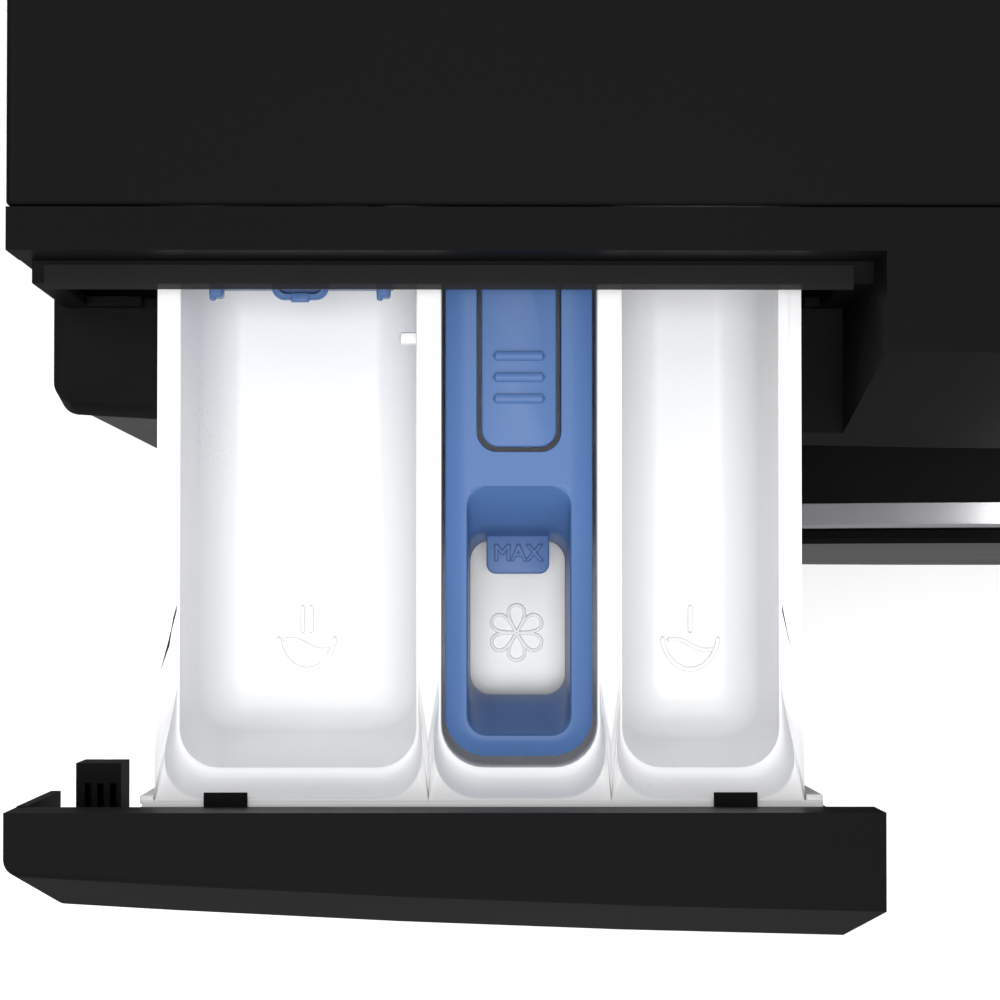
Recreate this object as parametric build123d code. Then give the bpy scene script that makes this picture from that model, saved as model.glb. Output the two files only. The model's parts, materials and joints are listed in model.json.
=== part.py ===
from build123d import *
import math
import os

# A front load washing machine with its detergent drawer pulled out. Millimetres, +Z up, the front faces -Y.
# The origin is on the floor, at the middle of the whole machine's outline with the drawer out.

# ---- cabinet ----
cabinet_width = 598.0
cabinet_height = 848.0
body_depth = 582.0          # front panel face to the rear edges of the sides
sheet = 1.0                 # steel sheet
wall = 2.5                  # plastic mouldings
cover_gap = 0.4             # seam between neighbouring covers
worktop_thickness = 18.0
worktop_front = 41.0        # from the front panel face back to the worktop's front seam
base_clearance = 14.0       # underside of the base rails above the floor
side_return = 18.0          # how far the front panel wraps round each side
corner_radius = 5.0
rear_panel_inset = 21.0     # rear panel ahead of the sides' rear edges
rear_cover_height = 530.0

# ---- control panel moulding ----
panel_height = 115.0        # whole moulding
strip_height = 17.0         # strip that runs below the drawer
panel_bow = 9.4             # how far the middle stands ahead of the corners
panel_nose = 8.5            # lower edge ahead of the front panel face, in the middle
panel_lean = 14.6           # top edge behind the lower edge
ledge_drop = 26.0           # ledge in the drawer recess below the worktop's top
rebate_set_back = 30.4      # upper wall of the recess behind the front panel face
recess_set_back = 25.0      # lower wall of the recess behind the front panel face
scoop_width = 110.0         # finger scoop in the strip
scoop_depth = 11.0

# ---- detergent drawer ----
drawer_travel = 130.5
drawer_width = 205.0
drawer_gap = 0.5            # drawer front to the recess
drawer_foot_gap = 2.5       # drawer front's lower edge above the strip
tray_width = 150.6          # body, without runners
tray_set_in = 110.6         # tray's middle from the cabinet's left side
tray_length = 213.5
tray_floor_drop = 97.0      # tray's underside below the worktop's top
tray_deck_drop = 38.0
rim_rise = 8.0              # bowls' raised front rims above the deck
runner_overhang = 3.2
runner_thickness = 2.0
compartment_draft = 6.0     # degrees
compartment_corner = 9.0
main_compartment_width = 57.2
softener_width = 37.9
prewash_width = 38.0
rib_width = 6.2             # between neighbouring compartments
tray_side_wall = 2.6
tray_front_wall = 7.0
runner_gap = 0.6            # runner to its groove
housing_wall = 2.2
housing_setback = 15.0      # housing's mouth behind the recess wall's face
insert_gap = 0.6
tongue_width = 18.2
tongue_slot = 1.3
gate_thickness = 1.8
gate_set_back = 126.5       # gate behind the tray's front
lip_reach = 1.5             # smoked lip ahead of the recess wall
lip_thickness = 0.8
front_wing = 5.8            # drawer front's left end wall behind its inner plate

# ---- door ----
door_radius = 240.0
door_height = 420.0         # centre above the floor, shared with the drum
mouth_radius = 190.0        # hole in the front panel
door_gap = 0.7              # door to the front panel
base_ring_depth = 22.0
trim_depth = 7.8
cover_depth = 7.0
trim_width = 34.0
glass_radius = 152.0
glass_depth = 118.0
glass_thickness = 4.0
hinge_set_out = 12.0        # hinge pin beyond the door's edge
hinge_stand_off = 21.0      # hinge pin ahead of the front panel face
hinge_pin_radius = 3.0
pin_gap = 0.05              # running fits, on the radius
knuckle_radius = 6.5
knuckle_height = 48.0
latch_drop = 64.0           # door hook below the door's centre

# ---- tub and drum ----
tub_radius = 250.0          # inside
tub_wall = 3.0
tub_front = 72.0            # tub's front wall behind the front panel face
tub_length = 376.0
tub_split = 190.0           # joint between the tub halves behind its front wall
tub_mouth = 185.0
drum_radius = 236.0
drum_sheet = 1.0
drum_length = 328.0
drum_set_back = 22.0        # drum's front edge behind the tub's front wall
drum_mouth = 168.0
lifter_height = 44.0
shaft_radius = 15.0
shaft_tail_radius = 12.5
bearing_radius = 31.0
tail_bearing_radius = 26.0
pulley_radius = 150.0
pulley_width = 18.0
motor_pulley_radius = 11.0
motor_radius = 58.0
motor_length = 170.0
motor_x = 40.0
motor_drop = 325.0          # motor's axis below the drum's axis
belt_thickness = 3.0
belt_width = 12.0
damper_x = 150.0
spring_x = 235.0
spring_radius = 12.0

# ---- feet, pump, water ----
foot_radius = 20.0
foot_pad = 10.0
foot_stud = 5.0
foot_inset_x = 24.0
foot_inset_y = 40.0
filter_x = 220.0
filter_height = 82.0
filter_radius = 20.0
flap_width = 110.0
flap_height = 80.0
hose_wall = 2.7
sump_hose_radius = 19.0
drain_radius = 10.0         # drain spigot
inlet_thread_radius = 13.2  # G3/4
inlet_thread_length = 14.0

# ---- places on the panel, at the rear and inside ----
face_drop = 52.0            # knob, buttons and window below the worktop's top
knob_x = -5.0
option_x = 226.0
option_radius = 7.0
start_x = 262.0
start_radius = 12.0
button_gap = 0.3
window_left = 70.0
window_right = 190.0
window_height = 40.0
water_x = -200.0            # inlet valve
water_drop = 64.0           # inlet valve and cord gland
gland_x = 180.0
spigot_x = 262.0            # drain spigot
spigot_drop = 148.0
fill_x = -170.0             # dispenser hose
fill_y = -20.0
sump_x = 70.0               # sump outlet
sump_y = -60.0
handle_pin_x = 208.0
handle_pin_depth = 4.4      # behind the base ring's front
hook_pin_x = 212.0

# ---- worked out from the sizes above ----
half_width = cabinet_width / 2
tray_centre = tray_set_in - half_width
tray_floor = cabinet_height - tray_floor_drop
tray_deck = cabinet_height - tray_deck_drop
face_z = cabinet_height - face_drop
window_low = face_z - window_height / 2
window_high = face_z + window_height / 2
water_z = cabinet_height - water_drop
spigot_z = cabinet_height - spigot_drop
split_x = -half_width + drawer_width + drawer_gap
strip_top = cabinet_height - panel_height + strip_height
panel_bottom = cabinet_height - panel_height
bow_radius = (half_width ** 2 + panel_bow ** 2) / (2 * panel_bow)
lean_slope = panel_lean / (cabinet_height - strip_top)
lean_angle = math.degrees(math.atan(lean_slope))
drawer_reach = panel_nose + math.sqrt(bow_radius ** 2 - split_x ** 2) - bow_radius
rear_y = (body_depth + drawer_travel + drawer_reach) / 2
front_y = rear_y - body_depth
seam_y = front_y + worktop_front
rebate_y = front_y + rebate_set_back
recess_y = front_y + recess_set_back
ledge_z = cabinet_height - ledge_drop
worktop_z = cabinet_height - worktop_thickness
rear_panel_y = rear_y - rear_panel_inset
inner_half = half_width - sheet
tub_y = front_y + tub_front
tub_outer = tub_radius + tub_wall
joint_y = tub_y + tub_split
tub_back_y = tub_y + tub_length
drum_y = tub_y + drum_set_back
drum_back_y = drum_y + drum_length
hub_y = tub_back_y - 10.0
hub_end_y = tub_back_y + 36.0
pulley_y = hub_end_y + 24.0
motor_z = door_height - motor_drop
door_back_y = front_y - door_gap
ring_front_y = door_back_y - base_ring_depth
trim_front_y = ring_front_y - trim_depth
cover_front_y = trim_front_y - cover_depth
hinge_x = -door_radius - hinge_set_out
hinge_y = front_y - hinge_stand_off
latch_z = door_height - latch_drop
tray_left = tray_centre - tray_width / 2
tray_right = tray_centre + tray_width / 2
tray_front_y = recess_y + 6.0 - drawer_travel
tray_back_y = tray_front_y + tray_length
main_left = tray_left + tray_side_wall
softener_left = main_left + main_compartment_width + rib_width
prewash_left = softener_left + softener_width + rib_width
opening_left = tray_left - 26.0
opening_right = tray_right + 13.0
foot_x = half_width - foot_inset_x
filter_y = front_y + 10.0

os.makedirs("parts", exist_ok=True)


# ---- helpers ----
def block(x0, x1, y0, y1, z0, z1):
    """A box between two corners."""
    return Pos((x0 + x1) / 2, (y0 + y1) / 2, (z0 + z1) / 2) * Box(x1 - x0, y1 - y0, z1 - z0)


def rod_x(radius, x0, x1, y, z):
    """A cylinder along X."""
    return Pos((x0 + x1) / 2, y, z) * Rot(0, 90, 0) * Cylinder(radius, x1 - x0)


def rod_y(radius, y0, y1, x, z):
    """A cylinder along Y."""
    return Pos(x, (y0 + y1) / 2, z) * Rot(90, 0, 0) * Cylinder(radius, y1 - y0)


def rod_z(radius, z0, z1, x, y):
    """A cylinder along Z."""
    return Pos(x, y, (z0 + z1) / 2) * Cylinder(radius, z1 - z0)


def ring_y(outer, inner, y0, y1, x=0.0, z=door_height):
    """A flat ring or a tube about an axis along Y."""
    return rod_y(outer, y0, y1, x, z) - rod_y(inner, y0 - 1, y1 + 1, x, z)


def turned(points, x=0.0, z=door_height):
    """A solid turned about an axis along Y, from (radius, y) corners."""
    face = make_face(Polyline(*[(r, y) for r, y in points], close=True))
    return Pos(x, 0, z) * revolve(face, Axis.Y, 360)


def slab_x(points, x0, x1):
    """An outline of (y, z) corners, carried from x0 to x1."""
    face = make_face(Polyline(*[(x0, y, z) for y, z in points], close=True))
    return extrude(face, amount=x1 - x0, dir=(1, 0, 0))


def bowed(x0, x1, z0, z1, skin, back):
    """The space behind the control panel's bowed and leaning face, from skin inside it back to a plane."""
    def face_y(x):
        bow = bow_radius - math.sqrt(bow_radius ** 2 - x ** 2)
        return front_y - panel_nose + bow + skin + lean_slope * (z0 - strip_top)

    far = back + panel_lean + 5
    middle = (x0 + x1) / 2
    line = Polyline((x1, face_y(x1), z0), (x1, far, z0), (x0, far, z0), (x0, face_y(x0), z0))
    bow = ThreePointArc((x0, face_y(x0), z0), (middle, face_y(middle), z0), (x1, face_y(x1), z0))
    plan = make_face(line + bow)
    leaning = Solid.extrude(plan.face(), Vector(0, lean_slope * (z1 - z0), z1 - z0))
    return leaning & block(x0 - 1, x1 + 1, front_y - 300, back, z0 - 1, z1 + 1)


def face_at(x, z):
    """The y of the control panel's face."""
    bow = bow_radius - math.sqrt(bow_radius ** 2 - x ** 2)
    return front_y - panel_nose + bow + lean_slope * (z - strip_top)


def on_face(x, z, shape):
    """Places a shape, made with +Z outwards at the origin, on the control panel's face."""
    return Pos(x, face_at(x, z), z) * Rot(90 - lean_angle, 0, 0) * shape


def tube(points, radii, outer, inner):
    """A hose along straight runs joined by arcs."""
    path = FilletPolyline(*points, radius=radii)
    start = Plane(origin=path @ 0, z_dir=path % 0)
    solid = sweep(start * Circle(outer), path=path)
    if inner:
        solid = solid - sweep(start * Circle(inner), path=path)
    return solid


def pocket(x0, x1, y0, y1, top, floor, corner, draft):
    """A pocket that narrows downwards."""
    middle = Pos((x0 + x1) / 2, (y0 + y1) / 2, top)
    lip = middle * RectangleRounded(x1 - x0, y1 - y0, corner)
    return extrude(lip, amount=top - floor, dir=(0, 0, -1), taper=draft)


def save(shape, name):
    """Writes one sub-part."""
    export_step(shape, "parts/" + name + ".step")
    print(name, len(shape.solids()))


# ---- cabinet ----
def side_panel(sign):
    """A side with a return along its rear edge."""
    low_front = front_y + side_return + cover_gap
    outline = [
        (low_front, base_clearance), (rear_y, base_clearance), (rear_y, worktop_z - cover_gap),
        (seam_y, worktop_z - cover_gap), (seam_y, panel_bottom - cover_gap),
        (low_front, panel_bottom - cover_gap),
    ]
    plate = slab_x(outline, inner_half, half_width)
    edge = block(half_width - 15, half_width, rear_y - sheet, rear_y, base_clearance, worktop_z - cover_gap)
    right = plate + edge
    return right if sign > 0 else mirror(right, Plane.YZ)


def front_panel():
    """The front sheet with its wrapped sides, door mouth, lock slot and hatch opening."""
    top = panel_bottom - cover_gap
    outer = block(-half_width, half_width, front_y, front_y + side_return, base_clearance, top)
    outer = fillet(outer.edges().filter_by(Axis.Z).group_by(Axis.Y)[0], corner_radius)
    inner = block(-inner_half, inner_half, front_y + sheet, front_y + 100, base_clearance - 1, top - sheet)
    inner = fillet(inner.edges().filter_by(Axis.Z).group_by(Axis.Y)[0], corner_radius - sheet)
    panel = outer - inner
    panel -= rod_y(mouth_radius, front_y - 5, front_y + 5, 0, door_height)
    panel -= block(194, 224, front_y - 5, front_y + 5, latch_z - 15, latch_z + 15)
    low = filter_height - flap_height / 2 + 3
    left = filter_x - flap_width / 2 - 1
    right = filter_x + flap_width / 2 + 1
    panel -= block(left, right, front_y - 5, front_y + 5, low - 2, low + flap_height + 1)
    for x in (left - 5, right):
        lug = block(x, x + 5, front_y + sheet / 2, front_y + 8, low, low + 8)
        panel += lug - rod_x(1.5 + pin_gap, x - 1, x + 6, front_y + 4, low + 4)
    return panel


def worktop():
    """The top board with rounded edges."""
    top = block(-half_width, half_width, seam_y, rear_y, worktop_z, cabinet_height)
    top = fillet(top.edges().filter_by(Axis.Z).group_by(Axis.Y)[-1], corner_radius)
    return fillet(top.faces().sort_by(Axis.Z)[-1].edges(), 1.2)


def rear_plate(z0, z1):
    """A flat rear sheet with forward returns along its sides."""
    half = inner_half - cover_gap
    plate = block(-half, half, rear_panel_y - sheet, rear_panel_y, z0, z1)
    for sign in (-1, 1):
        inside = sign * (half - sheet)
        x0, x1 = sorted((sign * half, inside))
        plate += block(x0, x1, rear_panel_y - 12, rear_panel_y, z0, z1)
    return plate


def rear_panel():
    """The upper rear sheet, holed for the inlet valve, the cord gland and the drain spigot."""
    plate = rear_plate(base_clearance + rear_cover_height + cover_gap, worktop_z - cover_gap)
    plate -= rod_y(inlet_thread_radius + 1.5, rear_y - 60, rear_y, water_x, water_z)
    plate -= rod_y(8.0, rear_y - 60, rear_y, gland_x, water_z)
    plate -= rod_y(drain_radius + 2.0, rear_y - 60, rear_y, spigot_x, spigot_z)
    return plate


def rear_cover():
    """The lower rear sheet, which comes off for service, with a row of cooling slots."""
    plate = rear_plate(base_clearance, base_clearance + rear_cover_height)
    for i in range(7):
        plate -= block(-150 + i * 50 - 16, -150 + i * 50 + 16, rear_panel_y - 5, rear_panel_y + 5, 480, 485)
    return plate


def panel_screws():
    """Screws that hold the rear cover and the worktop, as one group."""
    screws = []
    for x in (-270, -90, 90, 270):
        for z in (30, base_clearance + rear_cover_height - 14):
            head = rod_y(4.5, rear_panel_y + 0.02, rear_panel_y + 3, x, z)
            screws.append(head - block(x - 3, x + 3, rear_panel_y + 2, rear_panel_y + 4, z - 0.6, z + 0.6))
    return Compound(children=screws)


def frame_rails():
    """Base rails, the damper beam, the top rails and the top cross bar, as separate steel lengths."""
    side = inner_half - cover_gap
    low = base_clearance
    rail_top = low + 40
    y0 = front_y + side_return + 2
    y1 = rear_panel_y - 14
    rails = []
    for sign in (-1, 1):
        x0, x1 = sorted((sign * side, sign * (side - 40)))
        rail = block(x0, x1, y0, y1, low, rail_top)
        rail -= block(x0 + 1.5, x1 - 1.5, y0 - 1, y1 + 1, low + 1.5, rail_top + 1)
        for y in (front_y + foot_inset_y, rear_y - foot_inset_y):
            rail += rod_z(9, low, low + 12, sign * foot_x, y)
            rail -= rod_z(foot_stud + pin_gap, low - 1, low + 13, sign * foot_x, y)
        rails.append(rail)
        a0, a1 = sorted((sign * side, sign * (side - 17)))
        top = worktop_z - 1.5
        high = block(a0, a1, seam_y + 4, rear_panel_y - 14, top - 26, top)
        high -= block(a0 + 1.5, a1 - 1.5, seam_y + 3, rear_panel_y, top - 24.5, top + 1)
        b0, b1 = sorted((sign * (side - 10), sign * (spring_x - 13)))
        high += block(b0, b1, 52, 68, top - 27.5, top - 25)
        rails.append(high)
    cross = side - 40 - 0.3
    for y, depth, height in ((front_y + 3, 28, 26), (20, 40, 30), (rear_panel_y - 46, 30, 40)):
        beam = block(-cross, cross, y, y + depth, low, low + height)
        hollow = block(-cross - 1, cross + 1, y + 1.5, y + depth - 1.5, low + 1.5, low + height + 1)
        rails.append(beam - hollow)
    bar = side - 17 - 0.3
    top = worktop_z - 1.5
    beam = block(-bar, bar, 80, 110, top - 24, top)
    rails.append(beam - block(-bar - 1, bar + 1, 81.5, 108.5, top - 22.5, top + 1))
    return Compound(children=rails)


def rear_feet():
    """Two fixed rubber feet on studs."""
    feet = []
    for sign in (-1, 1):
        pad = rod_z(foot_radius, 0, foot_pad, sign * foot_x, rear_y - foot_inset_y)
        pad = fillet(pad.edges().group_by(Axis.Z)[-1], 2)
        feet.append(pad + rod_z(foot_stud, foot_pad - 1, 45, sign * foot_x, rear_y - foot_inset_y))
    return Compound(children=feet)


def front_foot(sign):
    """A levelling foot: rubber pad, hexagon and stud."""
    y = front_y + foot_inset_y
    pad = rod_z(foot_radius, 0, foot_pad - 3, sign * foot_x, y)
    pad = fillet(pad.edges().group_by(Axis.Z)[-1], 2)
    nut = Pos(sign * foot_x, y, foot_pad - 3) * extrude(RegularPolygon(9, 6), amount=3)
    return pad + nut + rod_z(foot_stud, foot_pad - 1, 50, sign * foot_x, y)


# ---- control panel ----
def control_panel():
    """The moulding across the front: leaning face, drawer recess, ledge, lower strip and finger scoop."""
    body = bowed(-half_width, half_width, panel_bottom, cabinet_height, 0, seam_y - cover_gap)
    uprights = [e for e in body.edges() if abs(e.center().X) > half_width - 1 and e.center().Y < front_y + 15]
    body = fillet([e for e in uprights if e.length > panel_height - 2], corner_radius)
    body -= bowed(split_x + wall, half_width - wall, panel_bottom + wall, cabinet_height - wall, wall, seam_y + 5)
    body -= bowed(-half_width + wall, split_x + wall + 1, panel_bottom + wall, strip_top - wall, wall, seam_y + 5)
    left = -half_width + wall
    behind = seam_y + 5
    body -= block(left, split_x - wall, recess_y + wall, behind, panel_bottom + wall, ledge_z - wall)
    body -= block(left, split_x - wall, rebate_y + wall, behind, ledge_z - wall - 1, cabinet_height - wall)
    edge = -half_width - 1
    body -= block(edge, split_x, front_y - 60, rebate_y, ledge_z, cabinet_height + 1)
    body -= block(edge, split_x, front_y - 60, recess_y, strip_top, ledge_z + 1)
    body -= block(opening_left, opening_right, recess_y - 1, recess_y + wall + 1, tray_floor + 6, ledge_z - wall)
    body -= block(opening_left + 14, opening_right - 4, recess_y - 1, recess_y + wall + 1, strip_top + 0.2,
                  tray_floor + 9)
    notch = left + drawer_gap
    body += block(notch, notch + wall, recess_y, rebate_y + wall, strip_top - wall, ledge_z)
    body += block(-half_width, notch + 0.5, rebate_y + 0.2, rebate_y + 0.2 + wall, strip_top - wall, ledge_z)
    body -= block(edge, notch, recess_y - 1, rebate_y + 0.2, strip_top, ledge_z + 1)
    middle = -half_width + drawer_width / 2
    half_scoop = scoop_width / 2
    scoop = block(middle - half_scoop, middle + half_scoop, front_y - 40, recess_y - 5, strip_top - 20,
                  tray_deck - 10)
    scoop = fillet(scoop.edges().filter_by(Axis.Z), 4)
    tight = block(-300, 0, front_y - 60, recess_y, strip_top - scoop_depth, strip_top + 1)
    floor = block(middle - half_scoop - wall, middle + half_scoop + wall, front_y - 60, recess_y - 3,
                  strip_top - scoop_depth - 2, strip_top)
    body += floor & bowed(-half_width + 1, split_x, panel_bottom + 1, strip_top, 0.2, seam_y)
    body -= scoop & tight
    body -= bowed(window_left, window_right, window_low, window_high, -5, seam_y - 20)
    body -= on_face(knob_x, face_z, Pos(0, 0, -8) * Cylinder(3.4, 20))
    body -= on_face(option_x, face_z, Pos(0, 0, -8) * Cylinder(option_radius + button_gap, 20))
    body -= on_face(start_x, face_z, Pos(0, 0, -8) * Cylinder(start_radius + button_gap, 20))
    return body


def ledge_lip():
    """The smoked drip lip that lies on the recess ledge and stands out over the tray."""
    left = -half_width + 6
    return block(left, split_x - 5, recess_y - lip_reach, rebate_y - 1.0, ledge_z, ledge_z + lip_thickness)


def display_window():
    """The smoked window over the display, flush with the panel."""
    left, right = window_left + button_gap, window_right - button_gap
    window = bowed(left, right, window_low + button_gap, window_high - button_gap, 0.2, seam_y - 20)
    return window - bowed(left - 1, right + 1, window_low - 1, window_high + 1, 2.2, seam_y - 19)


def control_board():
    """The circuit board with the knob's encoder and the button switches."""
    board = block(-40, 285, seam_y - 9, seam_y - 7.4, face_z - 34, face_z + 30)
    encoder = block(-15, 5, seam_y - 24, seam_y - 9, face_z - 10, face_z + 10)
    encoder -= on_face(knob_x, face_z, Pos(0, 0, -20) * Cylinder(3 + pin_gap, 30))
    board += encoder
    for x in (option_x, start_x):
        board += rod_y(3, seam_y - 20, seam_y - 8, x, face_z - 1)
    return board


def program_knob():
    """The round programme knob on its spindle, with a pointer groove and a knurled edge."""
    knob = Pos(0, 0, 0.8) * extrude(Circle(24), amount=3)
    knob += Pos(0, 0, 3.8) * extrude(Circle(21.5), amount=14, taper=3)
    knob = fillet(knob.edges().sort_by(Axis.Z)[-1], 1.5)
    for i in range(24):
        turn = Rot(0, 0, i * 15)
        knob -= turn * Pos(21.9, 0, 11) * Cylinder(1.0, 14)
    knob -= Pos(0, 14, 18) * Box(1.6, 9, 2.4)
    knob += Pos(0, 0, -11) * Cylinder(3, 26)
    return on_face(knob_x, face_z, knob)


def push_button(x, radius):
    """A round button with a retaining rim behind the panel."""
    button = Pos(0, 0, -1.5) * Cylinder(radius, 6)
    button = fillet(button.edges().sort_by(Axis.Z)[-1], 0.6)
    button += Pos(0, 0, -5.2) * Cylinder(radius + 1.5, 1.4)
    return on_face(x, face_z, button)


# ---- dispenser ----
def dispenser_housing():
    """The box that the tray slides in, with a runner groove each side, a sloping spout and an open front."""
    runner = tray_width / 2 + runner_overhang
    floor = tray_floor - 3.5
    top = ledge_z - wall - 0.3
    y0 = recess_y + housing_setback
    y1 = tray_back_y + drawer_travel + 4
    outer_half = runner + 1.2 + housing_wall
    box = block(tray_centre - outer_half, tray_centre + outer_half, y0, y1 + housing_wall, floor - housing_wall, top)
    low_half = tray_width / 2 + 0.7
    box -= block(tray_centre - low_half, tray_centre + low_half, y0 - 1, y1, floor, top + 1)
    high_half = runner + 1.2
    groove = tray_deck - runner_thickness - runner_gap
    box -= block(tray_centre - high_half, tray_centre + high_half, y0 - 1, y1, groove, top + 1)
    box += rod_z(20.0, floor - 24, floor - 0.5, fill_x, fill_y)
    box -= rod_z(16.0, floor - 30, floor + 3, fill_x, fill_y)
    return box


def dispenser_lid():
    """The flat water guide over the housing, with ribs for the water ways and a nozzle at the rear."""
    runner = tray_width / 2 + runner_overhang + 1.2 + housing_wall
    bottom = ledge_z - wall
    y1 = tray_back_y + drawer_travel + 4 + housing_wall
    lid = block(tray_centre - runner, tray_centre + runner, seam_y + 3, y1 + 8, bottom + 0.2, bottom + 3)
    for i in range(5):
        x = tray_centre - runner + 8 + i * (2 * runner - 18) / 4
        lid += block(x, x + 2, seam_y + 12, y1 - 12, bottom + 2.5, worktop_z - 1.8)
    lid += block(-216, -184, y1 + 0.6, y1 + 8, water_z - 14, bottom + 2)
    lid += rod_y(7.9, y1 + 7, y1 + 24, water_x, water_z)
    lid -= rod_y(5.5, y1 + 3, y1 + 30, water_x, water_z)
    return lid


def inlet_valve():
    """The cold water valve: body, coil and the threaded inlet that stands out at the rear."""
    y = rear_panel_y
    body = block(-218, -182, y - 46, y - 3, water_z - 16, water_z + 18)
    body += rod_y(inlet_thread_radius + 4, y - 4, y - 1.5, water_x, water_z)
    body += rod_y(inlet_thread_radius, y - 3, y + inlet_thread_length, water_x, water_z)
    body -= rod_y(9.0, y - 20, y + 30, water_x, water_z)
    body += rod_z(11, water_z - 39, water_z - 15, water_x, y - 28)
    body += rod_y(7.9, y - 64, y - 45, water_x, water_z)
    body -= rod_y(5.5, y - 70, y - 30, water_x, water_z)
    return body


def valve_hose():
    """Rubber hose from the inlet valve to the dispenser lid."""
    y0 = tray_back_y + drawer_travel + 4 + housing_wall + 10
    y1 = rear_panel_y - 48
    return ring_y(10.5, 8.0, y0, y1, water_x, water_z)


def dispenser_hose():
    """Ribbed rubber hose from the dispenser's spout to the tub."""
    low = 634.0
    high = tray_floor - 3.5 - 8
    hose = rod_z(22.8, low, high, fill_x, fill_y)
    for i in range(8):
        hose += rod_z(25.2, low + 18 + i * 9, low + 22 + i * 9, fill_x, fill_y)
    return hose - rod_z(20.2, low - 1, high + 1, fill_x, fill_y)


def compartment(left, width):
    """One tray pocket."""
    lip = tray_front_y + tray_front_wall
    rear = tray_back_y - 4
    bottom = tray_floor + 2.5
    shape = pocket(left, left + width, lip, rear, tray_deck + rim_rise + 1, bottom, compartment_corner, 0)
    floor = pocket(left, left + width, lip, rear, tray_deck, bottom, compartment_corner, compartment_draft)
    above = block(left - 1, left + width + 1, lip - 1, rear + 1, tray_deck, tray_deck + rim_rise + 2)
    floor = fillet(floor.faces().sort_by(Axis.Z)[0].edges(), 6)
    return floor + (shape & above)


def drawer_tray():
    """The three-compartment tray with its runners, raised front rims, front flange, peg and water outlets."""
    tray = block(tray_left, tray_right, tray_front_y, tray_back_y, tray_floor, tray_deck)
    deck = tray_deck - runner_thickness
    flange = block(tray_left - runner_overhang, tray_right + runner_overhang, tray_front_y + 6, tray_back_y,
                   deck, tray_deck)
    tray += flange
    rise = [
        (tray_front_y, tray_deck - 1), (tray_front_y, tray_deck + rim_rise),
        (tray_front_y + 12, tray_deck + rim_rise),
        (tray_front_y + 32, tray_deck), (tray_front_y + 32, tray_deck - 1),
    ]
    tray += slab_x(rise, tray_left, tray_right)
    lip = tray_deck + rim_rise
    tray += block(tray_left - 5.9, tray_right + 7.4, tray_front_y - 1.5, tray_front_y + 0.01, tray_floor + 4, lip)
    for left, width in ((main_left, main_compartment_width), (softener_left, softener_width),
                        (prewash_left, prewash_width)):
        tray -= compartment(left, width)
        if width != softener_width:
            x0, x1 = left + 12, left + width - 12
            tray -= block(x0, x1, tray_back_y - 14, tray_back_y + 1, tray_floor + 2.5, tray_floor + 20)
    tray += rod_x(1.6, main_left + main_compartment_width - 6, main_left + main_compartment_width + 2,
                  tray_front_y + 105, tray_deck - 12)
    return tray


def drawer_front():
    """The hollow front: top, bowed face, ends and inner plate, open below, with a pad, hooks and a guide."""
    foot = strip_top + drawer_foot_gap
    left = -half_width
    right = -half_width + drawer_width
    back = recess_y - 0.6
    outer = bowed(left, right, foot, cabinet_height, 0, back)
    uprights = [e for e in outer.edges() if abs(e.center().X - left) < 1 and e.center().Y < front_y + 15]
    outer = fillet([e for e in uprights if e.length > 80], 4)
    outer -= bowed(left + wall, right - wall, foot - 1, cabinet_height - wall, wall, back - wall)
    top = block(left, right, back - 1, rebate_y - 0.4, ledge_z + 1.2, cabinet_height)
    top -= block(left - 1, right + 1, back - 2, rebate_y - 0.4 - wall, ledge_z, cabinet_height - wall)
    end = block(left, left + wall, back - 1, rebate_y - 0.4, ledge_z + 1.2, cabinet_height)
    outer += top + end
    outer += block(left, left + wall, back - 1, back + front_wing, foot, ledge_z + 2)
    outer -= block(left + 4, right - 3, back - lip_reach - 0.3, back + 0.01, ledge_z - 0.5, ledge_z + 1.2)
    pad = block(tray_left - 7, tray_right + 9, back - 1, recess_y + 4.2, tray_floor + 12, tray_deck + 5)
    outer += fillet(pad.edges().filter_by(Axis.Y).group_by(Axis.Z)[-1], 4)
    for x in (tray_left + 9, tray_right - 19):
        outer += block(x, x + 10.5, back - 1, recess_y + 8.2, tray_deck + rim_rise + 0.3, ledge_z - wall - 0.4)
        outer += block(x, x + 10.5, back - 1, recess_y + 4.2, tray_deck + 4, ledge_z - wall - 0.4)
    guide = block(opening_left + 1.2, opening_left + 12.4, back - 1, recess_y + 14, tray_deck - 42, tray_deck - 20)
    for i in range(3):
        x = opening_left + 3.4 + i * 3.1
        guide -= block(x, x + 1.6, back, recess_y + 9, tray_deck - 30, tray_deck - 19)
    outer += guide
    return Pos(0, -drawer_travel, 0) * outer


def insert_outline(clearance, front_corner):
    """Plan of the softener insert."""
    x0 = softener_left + clearance
    x1 = softener_left + softener_width - clearance
    y0 = tray_front_y + tray_front_wall + 2.3
    y1 = tray_back_y - 8
    return x0, x1, y0, y1, front_corner


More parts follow.
